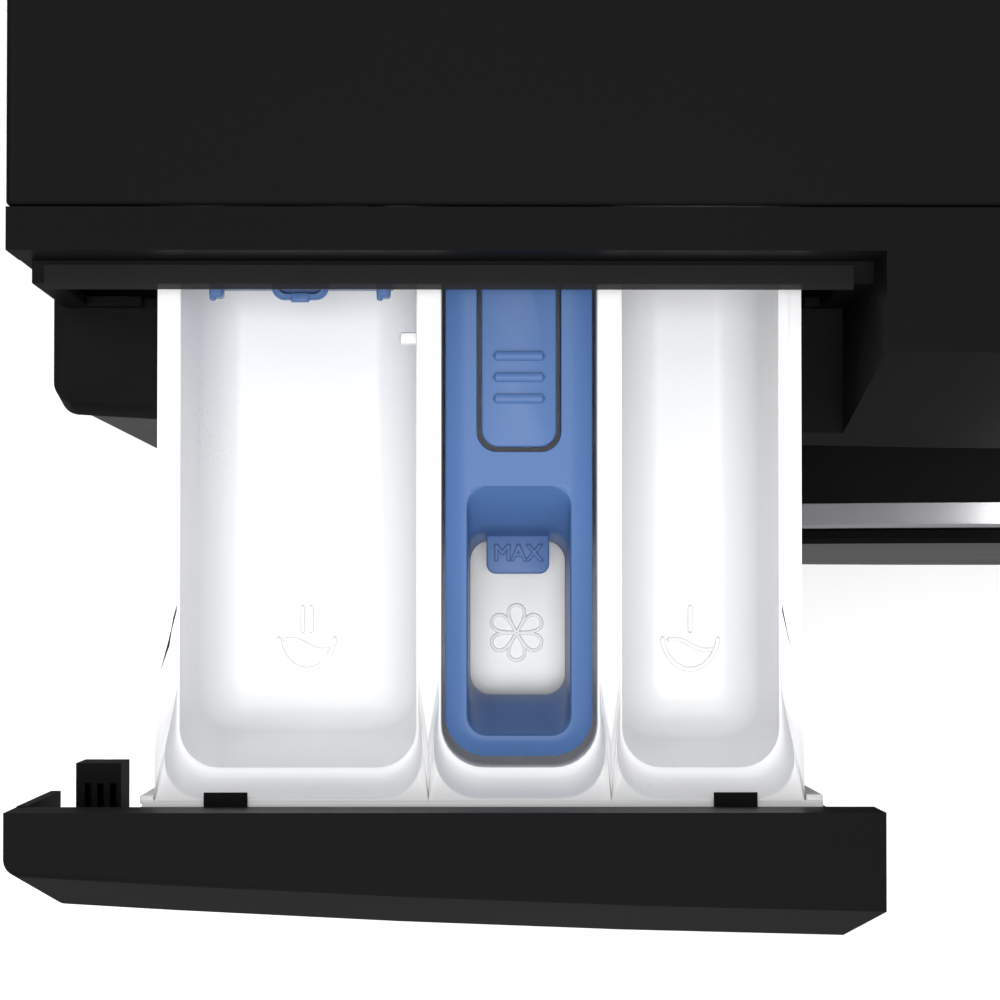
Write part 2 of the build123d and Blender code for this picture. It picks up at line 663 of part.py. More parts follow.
def softener_insert():
    """The siphon insert: a cap over the middle compartment with a filling pocket, a tongue slot and a siphon."""
    x0, x1, y0, y1, corner = insert_outline(insert_gap, 8.0)
    top = tray_deck - 1
    cap = pocket(x0, x1, y0, y1, top, top - 9, corner, compartment_draft)
    middle = (x0 + x1) / 2
    hole = Pos(middle, y0 + 35, top + 1) * RectangleRounded(25.5, 61, 5)
    cap -= extrude(hole, amount=20, dir=(0, 0, -1))
    cup = Pos(middle, y0 + 35, top) * RectangleRounded(25.5, 61, 5)
    inner = Pos(middle, y0 + 35, top + 1) * RectangleRounded(23.1, 58.6, 4)
    skirt = extrude(cup, amount=28, dir=(0, 0, -1)) - extrude(inner, amount=40, dir=(0, 0, -1))
    cap += skirt
    cap += block(middle - 7.8, middle + 7.8, y0 + 52, y0 + 65, top - 21, top - 19)
    cut = tongue_width / 2 + tongue_slot
    start = y0 + 75
    slot = Pos(middle, start + 45, top + 1) * RectangleRounded(2 * cut, 90, 5)
    cap -= extrude(slot, amount=20, dir=(0, 0, -1))
    cap += rod_z(5, tray_floor + 6, top - 8, middle, y1 - 20)
    return cap


def release_tongue():
    """The springy tongue in the insert, pressed down to free the drawer, with three finger ribs."""
    x0, x1, y0, y1, corner = insert_outline(insert_gap, 8.0)
    top = tray_deck - 1
    middle = (x0 + x1) / 2
    start = y0 + 75 + tongue_slot
    plan = Pos(middle, start + 44.2, top) * RectangleRounded(tongue_width, 88.4, 4)
    tongue = extrude(plan, amount=2, dir=(0, 0, -1))
    for i in range(3):
        y = start + 12 + i * 5.2
        tongue += Pos(middle, y, top) * Rot(0, 90, 0) * Cylinder(0.9, 13)
    tongue += block(middle - 1, middle + 1, start + 8, start + 78, top - 5, top - 1)
    return tongue


def liquid_gate():
    """The measuring gate for liquid: a plate with two hooks and a finger tab, which swings up for powder."""
    y = tray_front_y + gate_set_back
    x0 = main_left + 6.4
    x1 = main_left + main_compartment_width - 6.4
    gate = block(x0, x1, y, y + gate_thickness, tray_floor + 9, tray_deck - 6)
    for x in (x0, x1 - 4):
        gate += block(x, x + 4, y - 4, y + 4, tray_deck - 12, tray_deck - 4)
    middle = (x0 + x1) / 2
    tab = Pos(middle, y - 1, tray_deck - 9) * RectangleRounded(14, 6.4, 2.5)
    return gate + extrude(tab, amount=2)


# ---- door ----
def door_ring():
    """The black base ring: outer wall and front wall, cut for the hinge arm and the handle's finger pocket."""
    r = door_radius
    ring = turned([
        (r - wall, door_back_y), (r, door_back_y), (r, ring_front_y), (160, ring_front_y),
        (160, ring_front_y + wall), (r - wall, ring_front_y + wall),
    ])
    tall = knuckle_height / 2 + 1
    ring -= block(-r - 5, -r + 30, ring_front_y + wall + 0.2, front_y, door_height - tall, door_height + tall)
    return ring - block(212, r + 5, ring_front_y - 2, door_back_y - 6, door_height - 36, door_height + 36)


def handle_gap():
    """The space cut in the trim and the cover for the handle."""
    return block(202.4, door_radius + 5, cover_front_y - 10, ring_front_y + 0.1, door_height - 44, door_height + 44)


def door_trim():
    """The bright ring between the base ring and the cover."""
    inner = door_radius - trim_width
    ring = turned([
        (inner, ring_front_y - 0.2), (door_radius, ring_front_y - 0.2), (door_radius, trim_front_y + 1.5),
        (door_radius - 1.5, trim_front_y), (inner, trim_front_y),
    ])
    ring -= handle_gap()
    return ring - rod_z(2 + pin_gap, door_height - 60, door_height + 60, handle_pin_x, ring_front_y - handle_pin_depth)


def door_cover():
    """The dark outer pane, slightly domed."""
    r = door_radius - 1
    sag = 3.0
    outer = [(0, cover_front_y), (r * 0.5, cover_front_y + sag * 0.2), (r - 3, cover_front_y + sag)]
    rim = [(r, cover_front_y + sag + 1.5), (r, trim_front_y - 0.2), (0, trim_front_y - 0.2)]
    pane = turned(outer + rim)
    return pane - handle_gap()


def door_inner_frame():
    """The rear ring that holds the glass, with a seat for the door hook."""
    y0 = front_y - 4
    frame = turned([
        (glass_radius + 5, y0 - 3), (door_radius - 6, y0 - 3), (door_radius - 6, y0),
        (glass_radius + 5, y0),
    ])
    frame += ring_y(glass_radius + 18, glass_radius + 14.8, y0 - 12, y0 - 2)
    frame -= block(197, 222, y0 - 5, y0 + 5, latch_z - 13, latch_z + 13)
    for z in (latch_z - 19, latch_z + 14.5):
        lug = block(206, 218, y0 - 13, y0 - 2, z, z + 4)
        frame += lug - rod_z(2 + pin_gap, z - 1, z + 5, hook_pin_x, y0 - 8)
    return frame


def door_glass():
    """The glass bowl with its flange."""
    y0 = front_y - 7.5
    deep = front_y + glass_depth - 8
    r = glass_radius
    t = glass_thickness
    return turned([
        (r + 14, y0), (r + 14, y0 - t), (r - t, y0 - t), (r - t - 8, y0 + 12), (r - t - 34, deep - 26),
        (r - t - 50, deep - 10), (r - t - 76, deep - t - 1), (0, deep - t), (0, deep), (r - 74, deep - 1),
        (r - 48, deep - 7), (r - 31, deep - 24), (r - 8, y0 + 12), (r, y0),
    ])


def hinge_bracket():
    """The fixed half of the door hinge: base plate, two lugs and the pin."""
    half = knuckle_height / 2 + 0.5
    top = half + 15
    plate = block(hinge_x - 35, hinge_x + 8.5, front_y - 3.2, front_y - 0.1, door_height - top - 10,
                  door_height + top + 10)
    plate = fillet(plate.edges().filter_by(Axis.Y), 5)
    for z0 in (door_height + half, door_height - top):
        plate += block(hinge_x - 7, hinge_x + 7, hinge_y, front_y - 2, z0, z0 + 15)
        plate += rod_z(7, z0, z0 + 15, hinge_x, hinge_y)
    plate += rod_z(hinge_pin_radius, door_height - half - 2, door_height + half + 2, hinge_x, hinge_y)
    return plate


def door_hinge_arm():
    """The moving half of the hinge: knuckle, arm and the block that it is screwed down on."""
    half = knuckle_height / 2
    y1 = hinge_y + knuckle_radius
    arm = rod_z(knuckle_radius, door_height - half, door_height + half, hinge_x, hinge_y)
    arm += block(hinge_x, -200, y1 - 3, y1, door_height - half, door_height + half)
    arm += block(-224, -206, y1 - 1, front_y - 7.2, door_height - half, door_height + half)
    return arm - rod_z(hinge_pin_radius + pin_gap, 0, 800, hinge_x, hinge_y)


def door_handle():
    """The pull handle let into the door's right edge, with its pin."""
    y0 = cover_front_y + 0.4
    bar = block(206, door_radius, y0, ring_front_y - 1.4, door_height - 43, door_height + 43)
    bar = bar & rod_y(door_radius - 1, y0 - 1, ring_front_y, 0, door_height)
    bar = chamfer(bar.edges().filter_by(Axis.Z).sort_by(Axis.X)[0], 1.5)
    return bar + rod_z(2, door_height - 52, door_height + 52, handle_pin_x, ring_front_y - handle_pin_depth)


def door_hook():
    """The hook that reaches through the front panel into the lock, with its pin."""
    y0 = front_y - 12
    hook = block(208.5, 215.5, y0 - 3.5, front_y + 17, latch_z - 10, latch_z + 10)
    hook += block(201.5, 209, front_y + 10, front_y + 17, latch_z - 10, latch_z + 10)
    return hook + rod_z(2, latch_z - 18.5, latch_z + 18.5, hook_pin_x, y0)


def door_lock():
    """The lock's case behind the front panel, open towards the hook."""
    y0 = front_y + sheet + 0.1
    case = block(191.5, 240, y0, front_y + 34, latch_z - 34, latch_z + 26)
    return case - block(194, 226, y0 - 1, front_y + 26, latch_z - 15, latch_z + 15)


def door_gasket():
    """The rubber bellows between the front panel and the tub, with a lip on each."""
    m = mouth_radius
    cuff = tub_mouth + 1.8
    line = Polyline(
        (m + 7, front_y - 1.8), (m - 8, front_y - 1.8), (m - 22, front_y + 12), (m - 18, front_y + 24),
        (m + 2, front_y + 27), (m + 3, front_y + 36), (cuff, front_y + 45), (cuff, tub_y - 2),
    )
    skin = offset(line, amount=1.5, side=Side.BOTH)
    face = make_face(skin)
    rubber = Pos(0, 0, door_height) * revolve(face, Axis.Y, 360)
    return rubber


# ---- tub group ----
def tub_front_half():
    """The front tub half: neck, front wall, barrel, joint flange and the hose stub."""
    r = tub_radius
    o = tub_outer
    y = tub_y
    shell = turned([
        (tub_mouth - 3, y - 13), (tub_mouth, y - 13), (tub_mouth, y), (o, y), (o, joint_y - 6),
        (o + 9, joint_y - 6),
        (o + 9, joint_y), (r, joint_y), (r, y + 3), (tub_mouth - 3, y + 3),
    ])
    stub_low = 612.0
    barrel = rod_y(tub_radius + 0.5, tub_y - 5, joint_y + 5, 0, door_height)
    stub = rod_z(19.6, stub_low, 652, fill_x, fill_y) - barrel
    shell += stub
    shell -= rod_z(16, 560, 660, fill_x, fill_y)
    outlet = rod_z(16.0, 138, 190, sump_x, sump_y) - barrel
    shell += outlet
    return shell - rod_z(13, 130, 220, sump_x, sump_y)


def tub_rear_half():
    """The rear tub half: barrel, rear wall, bearing hub, spring ears, damper ears and motor lugs."""
    r = tub_radius
    o = tub_outer
    b = tub_back_y
    shell = turned([
        (o + 9, joint_y), (o + 9, joint_y + 6), (o, joint_y + 6), (o, b), (45, b), (42, hub_end_y),
        (22, hub_end_y),
        (22, hub_y), (42, hub_y), (45, b - 3), (r, b - 3), (r, joint_y),
    ])
    shell -= rod_y(bearing_radius + 0.02, hub_y - 1, hub_y + 23, 0, door_height)
    shell -= rod_y(tail_bearing_radius + 0.02, hub_y + 30, hub_end_y + 1, 0, door_height)
    barrel = rod_y(tub_radius + 1, tub_y, tub_back_y - 4, 0, door_height)
    ears = []
    for sign in (-1, 1):
        x0, x1 = sorted((sign * 178, sign * (spring_x + 10)))
        ears.append(block(x0, x1, 52, 68, 586, 598))
        ears.append(block(sign * damper_x - 10, sign * damper_x + 10, 48, 66, 196, 226))
    for y in (100, 200):
        lug = block(motor_x - 18, motor_x + 18, y, y + 16, motor_z + motor_radius - 8, 185)
        ears.append(lug - rod_y(motor_radius + 0.2, 0, 400, motor_x, motor_z))
    for ear in ears:
        shell += ear - barrel
    return shell


def crescent(turn):
    """A block of 140 degrees about the tub's mouth."""
    inner = tub_mouth + 18
    outer = tub_outer - 3
    half = math.radians(70)
    a = Vector(math.sin(half), math.cos(half))
    line = Line(a * inner, a * outer)
    arc = ThreePointArc(a * outer, (0, outer), (-a.X * outer, a.Y * outer))
    back = Line((-a.X * outer, a.Y * outer), (-a.X * inner, a.Y * inner))
    close = ThreePointArc((-a.X * inner, a.Y * inner), (0, inner), a * inner)
    plan = make_face(line + arc + back + close)
    solid = extrude(plan, amount=34)
    return Pos(0, tub_y - 0.3, door_height) * Rot(90, 0, 0) * Rot(0, 0, turn) * solid


def counterweights():
    """Two cast crescents bolted to the tub's front wall."""
    return Compound(children=[crescent(0), crescent(180)])


def heater():
    """The heating rod in the tub's floor: a long U with its terminal block."""
    z = door_height - (tub_radius + drum_radius) / 2 + 2
    y0 = tub_y + 4
    bend = 24.0
    path = FilletPolyline((-bend, y0, z), (-bend, tub_back_y - 40, z), (bend, tub_back_y - 40, z), (bend, y0, z),
                          radius=bend - 2)
    rod = sweep(Plane(origin=path @ 0, z_dir=path % 0) * Circle(2.8), path=path)
    return rod


def motor_body():
    """The motor's stator and end bells, bored for its shaft."""
    y0 = pulley_y - 20 - motor_length
    y1 = pulley_y - 20
    body = rod_y(motor_radius, y0, y1, motor_x, motor_z)
    body = chamfer(body.edges(), 5)
    for i in range(12):
        a = math.radians(i * 30 + 15)
        x = motor_x + motor_radius * math.cos(a)
        z = motor_z + motor_radius * math.sin(a)
        body -= rod_y(3, y0 + 20, y1 - 20, x, z)
    return body - rod_y(8 + pin_gap, y0 - 1, y1 + 1, motor_x, motor_z)


def motor_pulley():
    """The motor's shaft with its grooved pulley."""
    y0 = pulley_y - 15 - motor_length
    half = pulley_width / 2
    shaft = rod_y(8, y0, pulley_y + half, motor_x, motor_z)
    shaft += ring_y(motor_pulley_radius, 5, pulley_y - half, pulley_y + half, motor_x, motor_z)
    return shaft + ring_y(motor_pulley_radius + 3, 5, pulley_y + half, pulley_y + half + 1.5, motor_x, motor_z)


def belt_loop(grow):
    """The outline of a belt around both pulleys, as a solid."""
    big = Pos(0, door_height) * Circle(pulley_radius + grow)
    small = Pos(motor_x, motor_z) * Circle(motor_pulley_radius + grow)
    face = make_hull(big.edges() + small.edges())
    solid = extrude(face, amount=belt_width)
    return Pos(0, pulley_y + belt_width / 2, 0) * Rot(90, 0, 0) * solid


def drive_belt():
    """The flat ribbed belt."""
    return belt_loop(0.3 + belt_thickness) - belt_loop(0.3)


def drum_bearings():
    """Two ball bearings and the water seal in the tub's hub."""
    seal = ring_y(bearing_radius, shaft_radius + 0.3, hub_y + 0.5, hub_y + 6)
    front = ring_y(bearing_radius, shaft_radius + 0.04, hub_y + 6.5, hub_y + 22.5)
    tail = ring_y(tail_bearing_radius, shaft_tail_radius + 0.04, hub_y + 30.5, hub_y + 45.5)
    return Compound(children=[seal, front, tail])


def damper_cylinders():
    """Two friction damper barrels on the beam."""
    barrels = []
    for sign in (-1, 1):
        x = sign * damper_x
        barrel = rod_z(13, base_clearance + 32, 130, x, 57)
        barrel -= rod_z(10.3, base_clearance + 37, 126, x, 57)
        barrel -= rod_z(5 + pin_gap, 120, 131, x, 57)
        barrel += block(x - 6, x + 6, 36, 62, base_clearance + 30.2, base_clearance + 33)
        barrels.append(barrel)
    return Compound(children=barrels)


def damper_rods():
    """Two damper rods with friction pads, hung from the tub."""
    rods = []
    for sign in (-1, 1):
        x = sign * damper_x
        rod = rod_z(5, 80, 195, x, 57) + rod_z(10, 80, 96, x, 57)
        rods.append(rod + rod_z(8, 190, 195.8, x, 57))
    return Compound(children=rods)


def suspension_springs():
    """Two suspension springs between the top rails and the tub's ears, as plain tubes with end eyes."""
    springs = []
    top = worktop_z - 29.5
    for sign in (-1, 1):
        x = sign * spring_x
        coil = rod_z(spring_radius, 610, top - 12, x, 60) - rod_z(spring_radius - 3, 600, top, x, 60)
        coil += rod_z(spring_radius, 608, 611, x, 60) + rod_z(spring_radius, top - 13, top - 10, x, 60)
        coil += rod_z(2.5, 598.5, 609, x, 60) + rod_z(2.5, top - 11, top, x, 60)
        springs.append(coil)
    return Compound(children=springs)


# ---- drum group ----
def drum_shell():
    """The steel drum: barrel, front ring with a rolled lip, and rear plate."""
    r = drum_radius
    t = drum_sheet
    y = drum_y
    b = drum_back_y
    return turned([
        (0, b), (r, b), (r, y + 6), (r - 6, y), (drum_mouth + 8, y), (drum_mouth, y - 4),
        (drum_mouth, y - 3),
        (drum_mouth + 8, y + t), (r - 6 - t, y + t + 1), (r - t, y + 7), (r - t, b - t), (0, b - t),
    ])


def drum_lifters():
    """Three hollow lifters inside the drum."""
    lifters = []
    foot = drum_radius - drum_sheet - 1.2
    y0 = drum_y + 25
    y1 = drum_back_y - 25
    for i in range(3):
        outline = Polyline((-30, 0), (30, 0), (12, lifter_height), (-12, lifter_height), close=True)
        face = make_face(outline)
        rib = extrude(face, amount=y1 - y0)
        edges = [e for e in rib.edges().filter_by(Axis.Z) if e.center().Y > lifter_height - 1]
        rib = fillet(edges, 9)
        placed = Pos(0, y1, door_height) * Rot(0, i * 120, 0) * Rot(90, 0, 0) * Pos(0, -foot + 2, 0) * rib
        lifters.append(placed)
    return Compound(children=lifters)


def drum_spider():
    """The three-armed cast spider behind the drum, with the drum shaft."""
    y0 = drum_back_y + 0.2
    hub = rod_y(38, y0, y0 + 13, 0, door_height)
    for i in range(3):
        arm = block(-14, 14, y0, y0 + 11, 30, drum_radius - 14)
        hub += Pos(0, 0, door_height) * Rot(0, 60 + i * 120, 0) * arm
    hub += rod_y(shaft_radius, y0 + 10, hub_y + 24, 0, door_height)
    return hub + rod_y(shaft_tail_radius, hub_y + 23, pulley_y + 12, 0, door_height)


def drum_pulley():
    """The large pulley on the drum's shaft, with six spokes."""
    half = pulley_width / 2
    wheel = ring_y(pulley_radius, pulley_radius - 9, pulley_y - half, pulley_y + half)
    hub = rod_y(26, pulley_y - half - 4, pulley_y + half, 0, door_height)
    wheel += hub
    for i in range(6):
        spoke = block(-11, 11, pulley_y - 4, pulley_y + 4, 20, pulley_radius - 5)
        wheel += Pos(0, 0, door_height) * Rot(0, i * 60, 0) * spoke
    return wheel - rod_y(shaft_tail_radius + 0.02, pulley_y - 60, pulley_y + 60, 0, door_height)


# ---- water ----
def service_flap():
    """The flap over the filter, with two pins at its foot."""
    low = filter_height - flap_height / 2 + 3
    left = filter_x - flap_width / 2
    right = filter_x + flap_width / 2
    flap = block(left, right, front_y - 0.2, front_y + 2.2, low - 1, low + flap_height)
    flap = fillet(flap.edges().filter_by(Axis.Y), 3)
    for x0, x1 in ((left - 5, left + 3), (right - 3, right + 5)):
        flap += rod_x(1.5, x0, x1, front_y + 4, low + 4)
    for x0 in (left + 0.4, right - 3.4):
        flap += block(x0, x0 + 3, front_y + 1, front_y + 6, low + 2, low + 7)
    return flap


def filter_cap():
    """The pump's lint filter with its grip."""
    y = filter_y
    cap = rod_y(filter_radius + 6, y, y + 6, filter_x, filter_height)
    cap += block(filter_x - 20, filter_x + 20, y - 5.5, y + 1, filter_height - 3.5, filter_height + 3.5)
    body = ring_y(filter_radius, filter_radius - 2, y + 5, y + 58, filter_x, filter_height)
    for i in range(4):
        body -= Pos(filter_x, 0, filter_height) * Rot(0, i * 90 + 45, 0) * block(-4, 4, y + 16, y + 52, 0, 40)
    return cap + body


def drain_pump():
    """The drain pump: filter housing, motor and inlet and outlet stubs."""
    y = filter_y + 6.5
    x, z = filter_x, filter_height
    bore = filter_radius + 0.6
    pump = rod_y(filter_radius + 4.5, y, y + 64, x, z)
    pump += rod_y(26, y + 60, y + 112, x, z)
    pump += rod_x(15, x - 50, x, y + 42, z)
    pump += rod_z(drain_radius, z, z + 42, x + 10, y + 46)
    pump -= rod_y(bore, y - 1, y + 58, x, z)
    pump -= rod_x(12, x - 51, x - 10, y + 42, z)
    pump -= rod_z(drain_radius - 2.5, z, z + 43, x + 10, y + 46)
    return pump


def sump_hose():
    """Rubber hose from the tub's outlet to the pump."""
    z = filter_height
    y = filter_y + 6.5 + 42
    points = [(sump_x, sump_y, 140 + 12), (sump_x, sump_y, z), (sump_x, y, z), (filter_x - 38, y, z)]
    return tube(points, 24.0, sump_hose_radius, sump_hose_radius - hose_wall)


def drain_pipe():
    """Drain pipe from the pump up the rear right corner to the spigot."""
    x, y, z = filter_x + 10, filter_y + 6.5 + 46, filter_height + 42.3
    rear = rear_panel_y - 24
    points = [(x, y, z), (x, y, z + 60), (270, 40, 200), (274, 200, 230), (274, rear, 330), (274, rear, 560),
              (spigot_x, rear, spigot_z), (spigot_x, rear_y - 2, spigot_z)]
    radii = [24, 60, 60, 40, 70, 22]
    return tube(points, radii, drain_radius, drain_radius - 2.5)


def mains_inlet():
    """The cord gland in the rear panel; the cord itself isn't modelled."""
    y = rear_panel_y
    gland = rod_y(11, y + 0.1, y + 4, gland_x, water_z) + rod_y(7.6, y - 10, y + 16, gland_x, water_z)
    gland += rod_y(11, y - 10, y - sheet - 0.3, gland_x, water_z)
    return gland - rod_y(4, y - 11, y + 17, gland_x, water_z)


# ---- write every sub-part ----
builders = {
    "side_panel_left": lambda: side_panel(-1),
    "side_panel_right": lambda: side_panel(1),
    "front_panel": front_panel,
    "worktop": worktop,
    "rear_panel": rear_panel,
    "rear_cover": rear_cover,
    "panel_screws": panel_screws,
    "frame_rails": frame_rails,
    "rear_feet": rear_feet,
    "foot_left": lambda: front_foot(-1),
    "foot_right": lambda: front_foot(1),
    "control_panel": control_panel,
    "ledge_lip": ledge_lip,
    "display_window": display_window,
    "control_board": control_board,
    "program_knob": program_knob,
    "option_button": lambda: push_button(option_x, option_radius),
    "start_button": lambda: push_button(start_x, start_radius),
    "dispenser_housing": dispenser_housing,
    "dispenser_lid": dispenser_lid,
    "inlet_valve": inlet_valve,
    "valve_hose": valve_hose,
    "dispenser_hose": dispenser_hose,
    "drawer_tray": drawer_tray,
    "drawer_front": drawer_front,
    "softener_insert": softener_insert,
    "release_tongue": release_tongue,
    "liquid_gate": liquid_gate,
    "door_ring": door_ring,
    "door_trim": door_trim,
    "door_cover": door_cover,
    "door_inner_frame": door_inner_frame,
    "door_glass": door_glass,
    "hinge_bracket": hinge_bracket,
    "door_hinge_arm": door_hinge_arm,
    "door_handle": door_handle,
    "door_hook": door_hook,
    "door_lock": door_lock,
    "door_gasket": door_gasket,
    "tub_front": tub_front_half,
    "tub_rear": tub_rear_half,
    "counterweights": counterweights,
    "heater": heater,
    "motor_body": motor_body,
    "motor_pulley": motor_pulley,
    "drive_belt": drive_belt,
    "drum_bearings": drum_bearings,
    "damper_cylinders": damper_cylinders,
    "damper_rods": damper_rods,
    "suspension_springs": suspension_springs,
    "drum_shell": drum_shell,
    "drum_lifters": drum_lifters,
    "drum_spider": drum_spider,
    "drum_pulley": drum_pulley,
    "service_flap": service_flap,
    "filter_cap": filter_cap,
    "drain_pump": drain_pump,
    "sump_hose": sump_hose,
    "drain_pipe": drain_pipe,
    "mains_inlet": mains_inlet,
}
for node, build in builders.items():
    save(build(), node)
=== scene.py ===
import json
import math

import bmesh
import bpy
import numpy as np
from mathutils import Matrix, Vector

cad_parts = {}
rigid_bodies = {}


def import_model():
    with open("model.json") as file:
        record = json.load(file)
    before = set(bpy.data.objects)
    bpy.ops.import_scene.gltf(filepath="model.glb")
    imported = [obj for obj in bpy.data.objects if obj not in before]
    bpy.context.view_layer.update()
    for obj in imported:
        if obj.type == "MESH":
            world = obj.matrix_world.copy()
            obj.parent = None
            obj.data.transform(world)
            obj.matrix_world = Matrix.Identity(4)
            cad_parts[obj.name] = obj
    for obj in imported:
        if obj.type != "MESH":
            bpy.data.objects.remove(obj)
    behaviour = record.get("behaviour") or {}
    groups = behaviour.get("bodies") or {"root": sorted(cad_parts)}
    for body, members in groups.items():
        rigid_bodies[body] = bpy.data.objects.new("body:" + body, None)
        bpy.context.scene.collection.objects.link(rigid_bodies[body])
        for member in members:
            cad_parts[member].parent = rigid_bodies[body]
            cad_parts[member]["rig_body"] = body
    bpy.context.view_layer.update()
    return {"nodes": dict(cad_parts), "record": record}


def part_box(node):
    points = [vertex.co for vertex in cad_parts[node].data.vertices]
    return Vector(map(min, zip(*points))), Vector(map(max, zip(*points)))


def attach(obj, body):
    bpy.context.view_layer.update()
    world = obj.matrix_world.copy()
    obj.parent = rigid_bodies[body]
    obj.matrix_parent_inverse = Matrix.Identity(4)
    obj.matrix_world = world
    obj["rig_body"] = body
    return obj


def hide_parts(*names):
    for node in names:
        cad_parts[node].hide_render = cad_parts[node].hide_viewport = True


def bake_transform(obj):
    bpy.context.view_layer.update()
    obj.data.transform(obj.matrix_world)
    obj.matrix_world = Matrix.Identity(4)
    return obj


bl_info = {
    "name": "Front load washing machine",
    "version": (1, 0, 0),
    "blender": (4, 5, 0),
    "location": "3D View > Sidebar > Washing machine",
    "description": "Builds the visual pieces and finishes of a black front load washing machine",
    "category": "Add Mesh",
}

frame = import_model()
nodes = frame["nodes"]
slots = {part["node"]: part["material_slot"] for part in frame["record"]["subparts"]}

MM = 0.001


# ---- places read from the frame, in millimetres ----
def span(node, axis):
    """Lowest and highest millimetre of a CAD node along one axis."""
    low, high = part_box(node)
    return low[axis] / MM, high[axis] / MM


runner_out = 3.2           # how far the tray's runners stand out from its body
housing_side = 3.4         # the housing's outside to the runners' edges
flange_lead = 1.5          # the tray's flange ahead of its body
rim_rise = 8.0             # the raised front rims above the deck
tray_left = span("dispenser_housing", 0)[0] + housing_side + runner_out
tray_right = span("dispenser_housing", 0)[1] - housing_side - runner_out
tray_front = span("drawer_tray", 1)[0] + flange_lead
tray_back = span("drawer_tray", 1)[1]
tray_floor, rim_top = span("drawer_tray", 2)
deck = rim_top - rim_rise
drum_axis_z = sum(span("drum_pulley", 2)) / 2


# ---- meshes ----
def outline(x0, x1, y0, y1, front, back=None, arcs=8, runs=(6, 44)):
    """A rounded rectangle, anticlockwise from its lower left corner: quarter circles joined by evenly divided
    straight sides, always with the same number of points, so that one outline can be lofted to another."""
    back = front if back is None else back
    corners = ((x0, y0, front, 180), (x1, y0, front, 270), (x1, y1, back, 0), (x0, y1, back, 90))
    points = []
    for k, (x, y, radius, start) in enumerate(corners):
        turn = np.radians(start + np.linspace(0, 90, arcs + 1))
        cx = x + (radius if x == x0 else -radius)
        cy = y + (radius if y == y0 else -radius)
        arc = np.stack([cx + radius * np.cos(turn), cy + radius * np.sin(turn)], 1)
        points.append(arc)
    run = []
    for k in range(4):
        a = points[k][-1]
        b = points[(k + 1) % 4][0]
        t = np.linspace(0, 1, runs[k % 2] + 2)[1:-1, None]
        run += [points[k], a + (b - a) * t]
    return np.concatenate(run)


def raised(flat, z):
    """Gives an outline its height, which is one number or one for each point."""
    height = np.broadcast_to(z, len(flat))
    return np.column_stack([flat, height])


def loft(rows, first=False, last=False):
    """Quads between successive rows of points, each round on itself, with flat caps where asked."""
    rows = np.asarray(rows, float)
    count, across = rows.shape[:2]
    i = np.arange(count - 1)[:, None]
    j = np.arange(across)[None, :]
    k = (j + 1) % across
    quads = np.stack([i * across + j, i * across + k, (i + 1) * across + k, (i + 1) * across + j], -1)
    faces = quads.reshape(-1, 4).tolist()
    if first:
        faces.append(list(range(across))[::-1])
    if last:
        faces.append(list(range((count - 1) * across, count * across)))
    return rows.reshape(-1, 3), faces


def joined(parts):
    """Several (points, faces) pairs as one."""
    points, faces, start = [], [], 0
    for some, these in parts:
        points.append(some)
        faces += [[v + start for v in face] for face in these]
        start += len(some)
    return np.concatenate(points), faces


def make(name, shape, material, body, replaces=(), angle=40.0, closed=True):
    """A mesh object in metres from (points, faces) in millimetres, merged, turned outwards and shaded smooth."""
    points, faces = shape
    mesh = bpy.data.meshes.new(name)
    mesh.from_pydata((np.asarray(points) * MM).tolist(), [], faces)
    bm = bmesh.new()
    bm.from_mesh(mesh)
    bmesh.ops.remove_doubles(bm, verts=bm.verts, dist=2e-6)
    bmesh.ops.dissolve_degenerate(bm, edges=bm.edges, dist=1e-7)
    if closed:
        bmesh.ops.recalc_face_normals(bm, faces=bm.faces)
    bm.to_mesh(mesh)
    bm.free()
    mesh.materials.append(material)
    piece = bpy.data.objects.new(name, mesh)
    bpy.context.scene.collection.objects.link(piece)
    mesh.shade_smooth()
    mesh.set_sharp_from_angle(angle=math.radians(angle))
    if body:
        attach(piece, body)
    if replaces:
        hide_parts(*replaces)
    return piece


def slab(x0, x1, y0, y1, z0, z1, corner=1.0, edge=0.4, runs=(2, 2)):
    """An upright-edged plate: a rounded outline raised from z0 to z1, drawn in by a quarter circle at each edge."""
    turn = np.radians(np.linspace(0, 90, 4))
    rows = []
    for height, side in ((z0 + edge, -1), (z1 - edge, 1)):
        steps = turn[::-1] if side < 0 else turn
        for a in steps:
            inset = edge * (1 - math.cos(a))
            flat = outline(x0 + inset, x1 - inset, y0 + inset, y1 - inset, max(corner - inset, 0.05), runs=runs)
            rows.append(raised(flat, height + side * edge * math.sin(a)))
    return loft(rows, first=True, last=True)


def stroke(path, width, height, z, closed=False):
    """A raised line: a steep-sided half superellipse of the given width and height carried along a flat path."""
    path = np.asarray(path, float)
    if closed:
        ahead = np.roll(path, -1, 0) - np.roll(path, 1, 0)
    else:
        ahead = np.gradient(path, axis=0)
    ahead /= np.linalg.norm(ahead, axis=1)[:, None] + 1e-9
    side = np.column_stack([-ahead[:, 1], ahead[:, 0]])
    across = np.radians(np.linspace(0, 180, 7))
    thin = np.ones(len(path))
    if not closed:
        thin[0] = thin[-1] = 0.05
    rows = []
    for a in across:
        out = width / 2 * np.sign(math.cos(a)) * abs(math.cos(a)) ** 0.4
        up = height * abs(math.sin(a)) ** 0.5
        rows.append(raised(path + side * (out * thin)[:, None], z + up * thin))
    rows = np.asarray(rows).transpose(1, 0, 2)
    if closed:
        rows = np.concatenate([rows, rows[:1]])
    return loft(rows)


def smooth_step(t):
    """0 below 0, 1 above 1 and an S curve between."""
    t = np.clip(t, 0, 1)
    return t * t * (3 - 2 * t)


